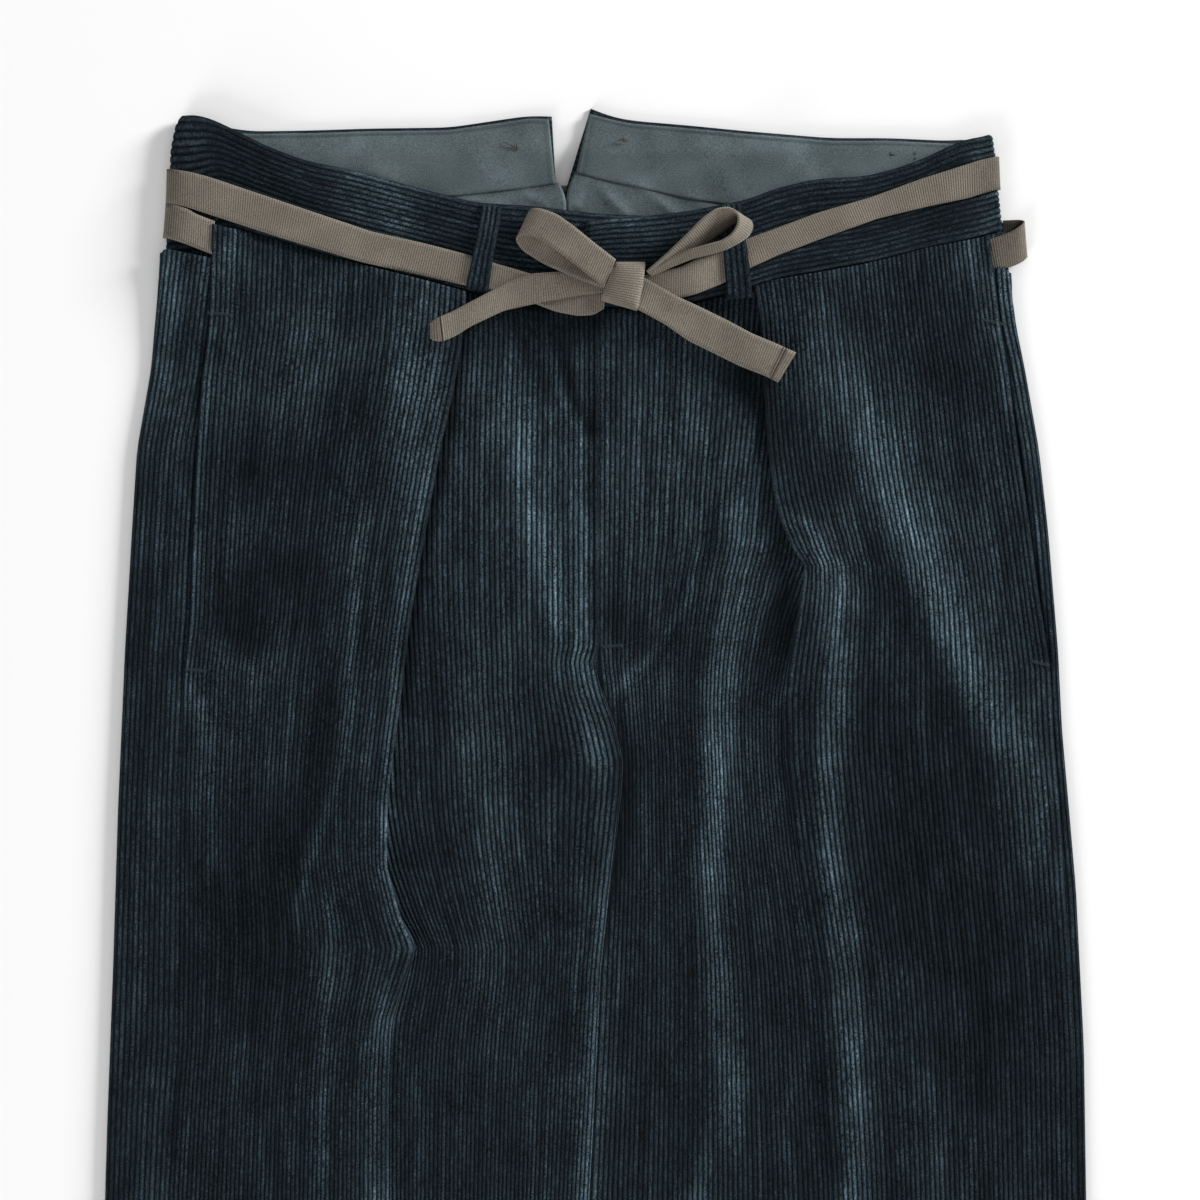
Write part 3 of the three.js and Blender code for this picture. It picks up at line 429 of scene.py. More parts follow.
# how far along Y each line is smoothed when it is read
softening = {"pleat": 3, "side": 3, "fold": 4, "meeting": 2.5, "grain": 8, "straight": 26}
pleat = {
    "right": named("y x turn under spread", [
        (422, -64.8, 180, 27, 40), (400, -66.8, 180, 26, 40), (372, -71.8, 180, 25, 40),
        (346, -77.8, 180, 23, 38), (321, -82.3, 180, 21, 36), (287, -88.3, 180, 18, 34),
        (258, -93.3, 180, 15, 32), (220, -97.8, 180, 11, 30), (170, -104.3, 180, 7, 28),
        (136, -104.8, 170, 4, 26), (111, -98, 150, 2.5, 24), (95, -90, 110, 1.4, 22),
        (79, -96.3, 80, 1.6, 22), (58, -103.3, 62, 1.6, 22), (24, -104.8, 52, 1.6, 20),
        (-30, -104.8, 46, 1.6, 20), (-150, -106, 34, 1.4, 24), (-300, -108, 18, 1, 30),
        (-515, -110, 6, 0.5, 40)]),
    "left": named("y x turn under spread", [
        (425, 79.3, 180, 26, 36), (408, 82.8, 180, 24, 34), (367, 85.3, 180, 20, 32),
        (344, 86.8, 180, 17, 30), (321, 89.8, 180, 13, 28), (306, 93.8, 180, 10, 26),
        (293, 99.8, 175, 7, 24), (287, 105.3, 165, 5, 24), (278, 104.3, 150, 3.5, 24),
        (260, 101.3, 120, 2, 24), (237, 97.3, 90, 1.8, 24), (220, 95.3, 66, 1.6, 24), (190, 96, 44, 1.4, 24),
        (140, 102, 30, 1.2, 26), (80, 112, 24, 1.2, 28), (-30, 119, 22, 1.2, 30), (-300, 122, 12, 1, 34),
        (-515, 122, 6, 0.5, 40)]),
}
pleatRadius = 0.9

# soft ridges and creases: x, y, height and half-width at points along each one; creases have negative
# heights
broadRidges = [
    [(-110, 329, 0.3, 14), (-121, 239, 1.2, 16), (-134, 157, 1.6, 16), (-149, 118, 1.2, 16)],
    [(-131, 92, 1, 16), (-136, 32, 1.5, 17), (-136, -30, 1.3, 18), (-138, -250, 0.6, 24)],
    [(107, 408, 0.6, 14), (133, 360, 1.6, 16), (149, 313, 2, 16), (179, 252, 1.8, 17), (217, 153, 0.8, 18)],
    [(116, 239, 1, 14), (116, 119, 1.6, 15), (128, 76, 1.6, 16), (128, -30, 1.5, 17), (130, -250, 0.6, 22)],
    [(-49, 168, 1, 22), (-52, 120, 1.4, 24), (-54, 75, 0.8, 24)],
    [(-6, 190, 1.2, 12), (-4, 127, 1.6, 13), (-10, 32, 1.4, 13), (-14, -60, 1, 15), (-26, -300, 0.5, 20)],
    [(52, 200, 0.5, 14), (56, 67, 1.4, 15), (58, 40, 1.6, 15), (54, -8, 1.3, 16), (56, -250, 0.5, 22)],
    [(66, 359, 1, 14), (74, 318, 1.2, 14), (66, 262, 1, 15)],
    [(-186, 178, 0.8, 14), (-186, 137, 1, 14), (-188, 60, 0.4, 14)],
    [(166, 75, 1, 18), (172, -30, 1.1, 20), (174, -250, 0.5, 24)],
    [(-188, 455, 2.6, 13), (-188, 450, 2.6, 13)],
]
fineRidges = [
    # from the second crease of the right leg
    [(-110, 329, 0, 3), (-121, 239, -0.9, 4), (-127, 196, -1.3, 4.5), (-134, 157, -1.4, 5),
     (-146, 127, -1, 5), (-149, 118, -0.3, 4)],
    # left of the fly
    [(-12, 396, 0.7, 4), (-10, 372, 1, 4), (-2, 352, 0.3, 3.5)],
    [(-15, 322, 0.6, 4), (-8, 311, 1, 4), (-3, 296, 0.4, 3)],
    [(-3, 264, 0.6, 3), (-5, 222, 0.9, 4)],
    # the curved crease right of the fly
    [(59, 317, -0.5, 4), (54, 296, -1, 4), (46, 283, -1.3, 4), (38, 273, -1.4, 4), (33, 248, -1.2, 4),
     (23, 234, -1.1, 4), (18, 229, -0.6, 4)],
    [(64, 318, 0.7, 5), (60, 293, 1, 5), (49, 276, 1, 5), (42, 250, 0.9, 5), (30, 228, 0.6, 5)],
    # down from the crotch
    [(11, 238, -0.6, 3), (11, 214, -0.5, 3)],
    [(16, 218, 0.8, 3.5), (21, 187, 0.8, 4), (22, 160, 0.3, 4)],
    [(52, 239, 0.6, 5), (53, 150, 0.8, 6), (54, 67, 0.5, 6)],
    [(62, 76, 0.8, 5), (60, 19, 1, 5), (54, 0, 0.9, 5), (50, -30, 0.5, 5)],
    # bumps on the left thigh
    [(102, 313, 1.1, 6), (116, 276, 0.8, 7)],
    [(108, 275, 0.8, 6), (120, 219, 0.9, 7)],
    [(91, 360, -1.2, 10), (108, 322, -1, 9)],
    # the hip of the right leg
    [(-150, 400, 0.5, 8), (-158, 340, 0.7, 10), (-164, 270, 0.3, 10)],
    [(-176, 330, -0.5, 8), (-178, 250, -0.6, 9), (-180, 190, -0.2, 8)],
    [(-30, 390, 0.5, 7), (-36, 330, 0.7, 8), (-44, 250, 0.4, 9)],
]

# lighter and darker bands: mostly painted highlights on fold flanks that catch the light and painted shade
# in creases and under the bow, partly the pile brushed up lighter or pressed darker: x, y, how much as a
# power of two, and half-width
napAndPaintedLightBands = [
    [(-85, 424, 0.6, 9), (-92, 395, 0.8, 10), (-90, 369, 0.85, 8), (-92, 344, 0.5, 6), (-96, 309, 0.3, 5)],
    [(-60, 372, 0.25, 9), (-66, 280, 0.2, 10)],
    [(-8, 345, 0.2, 8), (-8, 300, 0.15, 8)],
    [(-70, 394, 0.3, 2), (-78, 359, 0.8, 2.5), (-85, 324, 0.9, 2.5), (-92, 284, 0.9, 2.5),
     (-99, 244, 0.9, 2.5), (-102, 209, 0.9, 2.5), (-106, 169, 1, 2.5), (-106, 134, 1.1, 3),
     (-101, 114, 1.2, 3), (-93, 96, 1.2, 2.5)],
    [(-102, 102, 0.3, 3), (-108, 84, 0.7, 4.5), (-107, 59, 0.7, 5), (-111, 19, 0.7, 5),
     (-109, -31, 0.8, 5.5)],
    [(-117, 309, 0.2, 4), (-122, 269, 0.5, 3), (-122, 219, 0.6, 3), (-126, 189, 0.7, 3),
     (-135, 163, 0.7, 3), (-144, 134, 0.7, 3), (-149, 112, 0.5, 2.5)],
    [(-131, 119, 0.3, 3.5), (-134, 69, 0.7, 3), (-137, 19, 0.7, 3), (-137, -31, 0.6, 3.5)],
    [(-44, 399, 0.2, 4), (-40, 369, 0.7, 4.5), (-34, 329, 1, 5), (-27, 299, 1.1, 5), (-18, 259, 1, 4.5)],
    [(-7, 315, 0.4, 4.5), (-3, 299, 0.9, 4.5), (-5, 269, 0.9, 4), (-6, 244, 1.2, 4.5), (-5, 219, 1.3, 4.5),
     (0, 194, 1.2, 4), (4, 174, 0.6, 3.5), (7, 144, 0.7, 3), (4, 119, 0.8, 3), (2, 69, 1, 3.5),
     (-2, 19, 1.2, 4), (-5, -31, 1.4, 4)],
    [(-25, 404, 0.6, 2.5), (-15, 369, 0.7, 2.5), (-3, 344, 0.7, 2.5)],
    [(54, 296, 0.4, 2.5), (44, 266, 0.7, 2.5), (28, 240, 0.8, 2.5), (12, 226, 0.9, 2.5)],
    [(80, 354, 0.5, 7), (73, 329, 0.7, 8), (75, 299, 0.7, 7), (70, 269, 0.9, 6), (63, 229, 1.2, 5),
     (61, 179, 1.2, 4.5), (58, 139, 1.1, 4.5), (60, 94, 1, 4.5), (61, 69, 1.1, 4.5), (68, 29, 1.2, 5),
     (66, 4, 0.8, 5), (55, -11, 0.8, 3.5), (51, -31, 0.9, 3.5)],
    [(108, 419, 0.1, 5), (120, 394, 0.25, 6), (132, 364, 0.8, 7), (145, 329, 1.05, 7.5),
     (157, 299, 0.9, 7.5), (170, 269, 1.1, 7), (182, 244, 1.1, 7), (195, 219, 1, 7), (211, 189, 0.8, 9),
     (222, 144, 0.5, 7), (226, 119, 0.2, 5)],
    [(100, 311, 0.7, 2.5), (111, 303, 1, 3.5), (119, 282, 1.1, 4.5), (122, 244, 1, 4.5),
     (118, 194, 0.9, 4), (117, 144, 1, 4), (124, 104, 1.1, 4.5), (126, 69, 1.1, 4.5), (130, 19, 1.3, 5),
     (129, -31, 1, 5)],
    [(84, 354, 0.4, 2), (90, 322, 0.4, 2), (101, 294, 0.7, 2.5), (104, 269, 0.7, 2.5), (99, 244, 0.6, 2.5),
     (92, 219, 0.4, 2.5)],
    [(-59, 249, 0.3, 9), (-58, 189, 0.5, 9), (-48, 139, 0.6, 8), (-53, 94, 0.5, 8), (-48, 49, 0.3, 8)],
    [(-200, 354, 0.5, 2), (-202, 309, 0.6, 2), (-203, 259, 0.7, 2), (-204, 214, 0.6, 2)],
    [(-218, 389, 0.6, 2.5), (-212, 369, 0.8, 3), (-209, 344, 0.6, 2.5), (-208, 319, 0.4, 2.5)],
    [(-196, 219, 0.5, 3), (-193, 169, 0.6, 3.5), (-189, 134, 0.5, 3.5)],
    [(197, 424, 0.5, 4), (201, 399, 0.6, 3.5), (207, 369, 0.4, 3)],
    [(-178, 374, 0.4, 13), (-153, 376, 0.4, 13), (-133, 409, 0.4, 12), (-148, 394, 0.4, 13)],
    [(48, 404, 0.3, 7), (47, 359, 0.4, 9), (45, 319, 0.4, 9)],
    [(12, 404, 0.3, 6), (22, 359, 0.25, 10), (22, 309, 0.3, 11)],
    [(156, 49, 0.3, 6), (167, 24, 0.35, 7), (171, -31, 0.3, 8)],
    [(-28, 39, 0.3, 6), (-25, -31, 0.4, 6)],
    [(-223, 119, 0.25, 7), (-223, -31, 0.25, 7)],
    [(27, 224, 0.4, 8), (12, 219, 0.5, 6)],
    [(-34, 356, 0.35, 16), (-24, 240, 0.35, 16)],
    [(122, 400, 0.25, 18), (150, 330, 0.35, 20), (185, 250, 0.3, 18)],
    [(-178, 46, 0.7, 2.5), (-174, 44, 0.7, 2.5)],
    [(-190, 244, 0.4, 5), (-170, 233, 0.5, 5), (-158, 239, 0.3, 5)],
    [(-213, 439, 0.5, 4.5), (-211, 404, 0.2, 5)],
    [(-211, 434, 0.45, 8), (-212, 380, 0.4, 7), (-214, 330, 0.3, 6)],
    [(204, 428, 0.9, 6), (208, 400, 0.8, 6), (217, 350, 0.6, 5), (222, 318, 0.5, 5), (227, 270, 0.3, 4)],
    [(-185, 444, 0.5, 3.5), (-186, 419, 0.4, 3.5)],
    [(-64, 409, -0.9, 2.5), (-69, 379, -1.1, 3), (-74, 354, -1.1, 3), (-83, 309, -1, 3),
     (-90, 269, -1.1, 3), (-94, 239, -1, 3), (-96, 216, -0.7, 2.5)],
    [(-182, 258, -0.9, 7.5), (-175, 255, -0.9, 7.5)],
    [(-173, 275, -0.5, 11), (-158, 282, -0.5, 10)],
    [(-125, 374, -0.3, 11), (-139, 334, -0.4, 11), (-148, 289, -0.25, 13), (-143, 249, -0.2, 13)],
    [(-130, 249, -0.2, 5), (-135, 209, -0.45, 5), (-139, 174, -0.8, 5.5), (-149, 144, -0.6, 7),
     (-167, 116, -0.4, 12)],
    [(12, 216, -0.5, 2.5), (16, 189, -1, 3), (16, 164, -1.3, 3), (13, 136, -1.1, 3), (9, 114, -0.6, 2.5)],
    [(97, 352, -0.4, 11), (102, 329, -0.6, 12), (122, 334, -0.45, 12)],
    [(155, 199, -0.4, 20), (172, 169, -0.5, 22), (167, 119, -0.6, 22), (142, 129, -0.5, 15)],
    [(136, 259, -0.1, 10), (140, 199, -0.1, 12), (142, 144, -0.3, 12)],
    [(99, 269, -0.8, 5), (93, 252, -1, 6), (88, 239, -0.6, 6)],
    [(167, 414, -0.4, 15), (175, 384, -0.55, 16)],
    [(186, 438, 0.3, 10), (196, 424, 0.15, 8)],
    [(-195, 438, 0.5, 7), (-196, 404, 0.4, 6), (-199, 330, 0.25, 6), (-200, 290, 0.25, 6)],
    [(-38, 408, -0.8, 7), (-18, 404, -0.75, 7), (-2, 406, -0.5, 7)],
    [(-120, 390, 0.18, 6), (-121, 330, 0.22, 6), (-127, 268, 0.32, 7), (-124, 225, 0.2, 7),
     (-128, 170, 0.15, 7), (-135, 110, 0.25, 7), (-136, 60, 0.18, 7)],
    [(-82, 400, 0.2, 6), (-84, 344, 0.18, 6)],
    [(-3, 394, 0.25, 6), (-4, 362, 0.3, 5), (-6, 325, 0.12, 5), (-6, 268, 0.18, 4)],
    [(-26, 272, -0.25, 5), (-27, 232, -0.25, 5)],
    [(-8, 140, 0.2, 4), (-7, 60, 0.2, 4)],
    [(88, 270, 0.18, 4), (90, 212, 0.22, 4)],
    [(126, 420, -0.35, 7), (130, 398, -0.4, 7), (144, 378, -0.3, 6), (148, 362, -0.18, 5)],
    [(142, 310, -0.25, 5), (146, 302, -0.25, 5)],
    [(180, 344, -0.2, 8), (194, 308, -0.2, 8)],
    [(70, 383, -1.2, 6), (81, 376, -1.2, 5), (84, 359, -0.7, 3.5), (86, 339, -0.5, 3)],
    [(-170, 349, -0.5, 13), (-183, 329, -0.5, 13)],
    [(-178, 144, -0.5, 17), (-173, 89, -0.5, 20)],
    [(142, 296, -0.5, 6), (161, 249, -0.6, 6.5), (177, 216, -0.35, 7), (195, 184, -0.3, 7)],
    [(202, 89, -0.5, 15), (197, 39, -0.5, 18)],
    [(-35, 396, -0.6, 3), (-25, 373, -0.6, 3)],
    [(-20, 399, -0.7, 3), (-12, 374, -0.7, 3), (-2, 354, -0.7, 3)],
    [(8, 264, -0.8, 5), (22, 249, -0.7, 5), (36, 249, -0.3, 5)],
    [(50, 259, -0.15, 5), (47, 209, -0.2, 7), (44, 169, -0.2, 7)],
    [(-230, 269, -0.4, 6), (-228, 194, -0.4, 8)],
    [(-203, 454, -0.3, 4), (-203, 404, -0.5, 4.5), (-202, 369, -0.5, 3.5)],
    [(-83, 219, -0.3, 8), (-78, 144, -0.3, 9)],
    [(-109, -40, 0.8, 6), (-111, -200, 0.5, 8), (-112, -515, 0.4, 10)],
    [(-137, -40, 0.7, 5), (-140, -240, 0.5, 8), (-142, -515, 0.3, 8)],
    [(-5, -40, 0.8, 5), (-20, -250, 0.7, 7), (-44, -515, 0.5, 8)],
    [(51, -40, 0.8, 6), (54, -200, 0.6, 9), (60, -515, 0.4, 12)],
    [(129, -40, 0.9, 6), (130, -220, 0.7, 9), (132, -515, 0.5, 12)],
    [(172, -40, 0.5, 9), (176, -260, 0.4, 12), (180, -515, 0.3, 14)],
    [(-180, -80, -0.4, 20), (-178, -300, -0.5, 24), (-176, -515, -0.4, 26)],
    [(95, -80, -0.4, 14), (94, -300, -0.5, 16), (92, -515, -0.4, 18)],
    [(-70, -80, -0.3, 18), (-74, -300, -0.4, 20), (-76, -515, -0.3, 20)],
]

napAndPaintedLightSoftness = {
    "narrow": 1.15, "wide": 1.5, "wideFrom": 3.4, "ease": 0.3,
    "legs": -0.14, "legsBelow": -40, "waist": 0.14, "waistAbove": 330,
}

def layRidges(ridges, x, y):
    # the sum of ridges: height times a bell of the distance to its line of points
    total = np.zeros_like(x)
    for line in ridges:
        best = np.full(x.shape, np.inf)
        high = np.zeros_like(x)
        wide = np.ones_like(x)
        for (ax, ay, ah, aw), (bx, by, bh, bw) in zip(line[:-1], line[1:]):
            t = ((x - ax) * (bx - ax) + (y - ay) * (by - ay)) / ((bx - ax) ** 2 + (by - ay) ** 2)
            t = np.clip(t, 0, 1)
            far = np.hypot(x - mix(ax, bx, t), y - mix(ay, by, t))
            closer = far < best
            best = np.where(closer, far, best)
            high = np.where(closer, mix(ah, bh, t), high)
            wide = np.where(closer, mix(aw, bw, t), wide)
        total += high * bell(best, wide)
    return total

def layNapAndPaintedLight(bands, x, y):
    # the bands of painted light and shade and of brushed pile, widened, each sum u eased to u / (1 + ease
    # |u|) so that no place glares
    soft = napAndPaintedLightSoftness
    wider = [[(px, py, high, wide * soft["wide" if wide > soft["wideFrom"] else "narrow"])
              for px, py, high, wide in line] for line in bands]
    total = layRidges(wider, x, y)
    return total / (1 + soft["ease"] * np.abs(total))

def panelNapAndPaintedLight(x, y):
    # the painted light and shade and the brushed pile of the panels, over a slow change from the legs to the
    # waist
    toWaist = ramp(napAndPaintedLightSoftness["legsBelow"], napAndPaintedLightSoftness["waistAbove"], y)
    return layNapAndPaintedLight(napAndPaintedLightBands, x, y) + mix(napAndPaintedLightSoftness["legs"], napAndPaintedLightSoftness["waist"], toWaist)

def layHeight(x, y):
    # the level of the front layer: the lay of the legs, rising to the waist, and the broad ridges on it
    base = mix(levels["lay"], levels["waist"], ramp(levels["waistFrom"], levels["waistTo"], y))
    return base + layRidges(broadRidges, x, y)

def flyRise(x, y):
    # the lift of the left panel over the right one, from the crotch up, gone at a distance from the lap
    return fly["lift"] * ramp(fly["crotchY"], fly["lowEnd"], y) * (1 - ramp(fly["flat"], fly["fade"], x))

def crossingHeight(y):
    # the lift of the back where it lies over the two crossing tapes
    up = ramp(crossingZone["start"], crossingZone["full"], y)
    return levels["crossing"] * up * (1 - ramp(crossingZone["end"], crossingZone["stop"], y))

def innerEdge(side, y):
    # where the front panel ends in the middle: beside the gap between the legs, and under the lap at the fly
    line = read(meetingLine, "x", y, softening["meeting"])
    gap = read(legGap, "gap", y)
    under = fly["overlap"] * ramp(fly["lowEnd"] - fly["lapFade"], fly["lowEnd"] + fly["lapFade"], y)
    return line - gap / 4 + under if side == "right" else line + gap * 3 / 4

def foldedShare(y):
    # 1 where the inner edge is folded between the legs, 0 where it lies flat under the fly
    return 1 - ramp(fly["crotchY"], fly["foldEnd"], y)

# the edges of each waistband half, as x and y of its top and of its lower edge: in front, from the centre to
# the side and with its lift, and behind, from the side to the fishtail tip
bandFront = {
    "right": [
        (46, 460, 45, 419.5, 0), (24, 461, 22, 417.8, 0), (1, 462, 1, 416.4, 0), (-32, 466, -32, 416.6, 0),
        (-60, 467.5, -58, 422, 0), (-89, 475, -86, 429.5, 0), (-122, 484, -118, 437.5, 0),
        (-145, 488.5, -140, 443.5, 0), (-165, 496, -161, 450.2, 0), (-180, 503.8, -178, 454.5, 0),
        (-193, 510, -192, 457.5, 0), (-201, 512.2, -196, 439.8, 0), (-207.5, 511.2, -214, 443.2, 0)],
    "left": [
        (-5, 457.8, -5, 416, 2), (6, 459.5, 6, 415.5, 2), (28, 461, 27, 415.5, 2),
        (49, 463.5, 47, 417.5, 2), (64, 467, 62, 421, 0.4), (75, 468.5, 74, 424.5, 0),
        (89, 474.5, 90, 429.5, 0), (110, 479.5, 110, 433, 0), (134, 480.5, 132, 437, 0),
        (148, 484, 149, 441, 0), (163, 489, 165, 445.5, 0), (179, 497, 181, 448.5, 0),
        (191, 501.4, 194, 451, 0), (197, 503, 202, 454, 0)],
}
bandBack = {
    "right": [
        (-203, 509.5, -207, 443.6), (-193, 507, -190, 446.6), (-173, 503.5, -168, 448.7),
        (-143, 504, -140, 451.4), (-113, 505, -110, 454.3), (-73, 505.5, -70, 458.1),
        (-53, 508.5, -50, 460), (-33, 511.5, -33, 461.7), (-21.9, 511, -19, 463)],
    "left": [
        (192, 500, 197, 452), (177, 498.5, 180, 452.9), (147, 500, 147, 454.7), (117, 500, 116, 456.4),
        (77, 503.5, 75, 458.6), (47, 506.5, 45, 460.2), (17, 509, 12, 462), (7.2, 511, 1, 462.6),
        (-2.4, 515, -18, 463.6)],
}

def bandLow(rows, side, x):
    # the height of the band's lower edge at x, in proportion between its stations
    edge = np.array(sorted((row[2], row[3]) for row in rows[side]))
    return np.interp(x, edge[:, 0], edge[:, 1])

# wales

waleSamples = np.array([0, 0.14, 0.36, 0.64, 0.86])

def waleColumns(low, high):
    # places across the cloth, counted in wales, with five samples to each wale
    whole = np.arange(math.floor(low), math.ceil(high))
    return np.append((whole[:, None] + waleSamples).ravel(), math.ceil(high)).astype(float)

def waleProfile(across):
    # a round-topped rib with a narrow valley at every whole number: 1 - |2 t - 1| cubed
    return 1 - np.abs(2 * (across - np.floor(across)) - 1) ** 3

def placeWales(spans):
    # a block of columns for each span of the section, low to high in wales, spread evenly from start to end
    across, target = [], []
    for low, high, start, end in spans:
        columns = waleColumns(low, high)[:-1]
        across.append(columns)
        target.append(mix(start, end, (columns - low)[None] / (high - low)))
    across.append([spans[-1][1]])
    target.append(spans[-1][3])
    return np.concatenate(across)[None], np.concatenate(target, axis=1)

def resample(path, lengths, targets):
    # each row's path read at that row's target lengths, all rows in one interpolation
    stride = lengths.max() + 10  # keeps the rows apart
    shift = np.arange(len(path))[:, None] * stride
    known = (lengths + shift).ravel()
    wanted = (np.clip(targets, 0, lengths[:, -1:]) + shift).ravel()
    return columnsAt(wanted, known, path.reshape(-1, path.shape[2])).reshape(*targets.shape, -1)

def rowLengths(u, z):
    # how far along its row each point of a section lies
    step = np.hypot(np.diff(u, axis=1), np.diff(z, axis=1))
    return np.concatenate([np.zeros((len(u), 1)), np.cumsum(step, axis=1)], axis=1)

def rowHeights(spans):
    # heights from top to bottom, each span with its own step
    parts = [np.arange(top, low, -step) for top, low, step in spans]
    return np.append(np.concatenate(parts), spans[-1][1]).astype(float)

def shares(count):
    # even shares of the way, without its start
    return np.linspace(0, 1, count + 1)[None, 1:]

# front panels

frontPanel = {
    "right": {
        "sideWales": 50, "centreWales": 50, "innerWales": 4, "jogWales": 7, "bendWales": 16,
        "flat": (300, 1000), "area": 246000},
    "left": {
        "sideWales": 50, "centreWales": 48, "innerWales": 6, "jogWales": 7,
        "flat": (300, 1000), "area": 235000},
    "rows": [(422, 200, 4), (200, 60, 5), (60, -30, 7), (-30, -515, 14)],
    "shapedFrom": 372, "underBand": 0.5, "slitFade": 6, "edgeWidth": 2.2, "edgeDip": -0.6, "edgeRise": 0.5,
    "foldEase": 1.2, "foldClear": (0.7, 2.4), "foldWall": 0.62, "sunk": 0.04,
    "steps": {"side": 90, "turn": 10, "under": 7, "middle": 89, "fold": 14},
}

# sewn lines pressed into the front panels: the pocket slits and the fly
grooves = {
    "right": [
        [(-180, 452, -0.35, 0.8), (-181, 411, -0.35, 0.8)],
        [(-186.5, 409, -0.25, 0.8), (-190.5, 383, -0.25, 0.8), (-193.4, 346, -0.25, 0.8),
         (-195, 302, -0.25, 0.8), (-196.5, 258, -0.25, 0.8), (-197.5, 239, -0.25, 0.8)],
        [(-194, 410.6, -0.4, 1), (-182, 409.6, -0.4, 1)], [(-205, 232, -0.5, 1), (-194, 231, -0.5, 1)],
    ],
    "left": [
        [(196, 404, -0.25, 0.8), (200.4, 382, -0.25, 0.8), (205.2, 344, -0.25, 0.8), (210, 313, -0.25, 0.8),
         (215, 275, -0.25, 0.8), (219, 244, -0.25, 0.8)],
        [(193, 407.4, -0.4, 1), (204, 405, -0.4, 1)], [(218, 236.4, -0.5, 1), (227, 234.2, -0.5, 1)],
        [(3.5, 243.8, -0.4, 1), (14, 244.6, -0.4, 1)],
        [(37.8, 404, -0.4, 0.8), (37.8, 289, -0.4, 0.8), (34.5, 269.5, -0.4, 0.9), (30.8, 258, -0.4, 0.9),
         (24, 250, -0.4, 0.9), (13, 246, -0.4, 0.9)],
    ],
}

def frontPath(side, height, sideY):
    # the section of one panel: over the side part, round the pleat's two turns, to the middle and its inner
    # fold. A turn of radius r by an angle moves the cloth r sin(angle) inwards and r (1 - cos(angle)) down.
    out = outward[side]
    steps = frontPanel["steps"]
    r = pleatRadius
    table, soft = pleat[side], softening["pleat"]
    edge, turn, under, settle = (
        read(table, key, height, soft)[:, None] for key in ("x", "turn", "under", "spread"))
    edge, turn = out * edge, np.radians(turn)
    sideX = out * read(sideEdge[side], "x", sideY, softening["side"])[:, None]
    start = edge + r * np.where(turn > math.pi / 2, 1, np.sin(turn))
    drop = 2 * r * (1 - np.cos(turn)) + under * np.sin(turn)
    u = mix(sideX, start, np.linspace(0, 1, steps["side"])[None])
    parts = [(u, drop * (1 - ramp(under + 3, under + 3 + settle, u - start)))]
    bend = shares(steps["turn"])
    parts.append((start - r * np.sin(turn * bend), drop - r * (1 - np.cos(turn * bend))))
    turnU, turnZ = start - r * np.sin(turn), drop - r * (1 - np.cos(turn))
    along = under * shares(steps["under"])
    parts.append((turnU - np.cos(turn) * along, turnZ - np.sin(turn) * along))
    underU, underZ = turnU - np.cos(turn) * under, turnZ - np.sin(turn) * under
    back = turn * (1 - bend)
    parts.append((underU - r * (np.sin(turn) - np.sin(back)), underZ - r * (np.cos(back) - np.cos(turn))))
    flatFrom = parts[-1][0][:, -1:]
    folded = foldedShare(height)[:, None]
    middle = out * innerEdge(side, height)[:, None]
    foldRadius = (layHeight(out * middle, height[:, None]) - levels["floor"]) / 2
    last = middle + foldRadius * folded
    u = mix(flatFrom, last, shares(steps["middle"]))
    parts.append((u, np.zeros_like(u)))
    # the inner edge folds under between the legs and ends flat under the fly
    count = steps["fold"]
    heading = math.pi * folded * (np.arange(count)[None] + 0.5) / count
    length = mix(2 / count, foldRadius * math.pi / count, folded)
    foldU, foldZ = (np.cumsum(wave(heading) * length, axis=1) for wave in (np.cos, np.sin))
    parts.append((last - foldU, -foldZ))
    u, z = (np.concatenate([part[k] for part in parts], axis=1) for k in range(2))
    length = rowLengths(u, z)
    tip = steps["side"] + steps["turn"] // 2 - 1
    flatStart = steps["side"] + 2 * steps["turn"] + steps["under"] - 1
    seen = out * read(meetingLine, "x", height, softening["meeting"])[:, None]
    grain = out * read(grainLine, "x", height, softening["grain"])[:, None]
    seenAt, grainAt = (
        length[:, flatStart:flatStart + 1] + np.abs(flatFrom - line) - frontPanel["foldEase"] * folded
        for line in (seen, grain))
    jog = out * read(pleat[side], "x", height, softening["straight"])[:, None] - edge
    return out * u, z, length, length[:, tip:tip + 1], seenAt, grainAt, jog

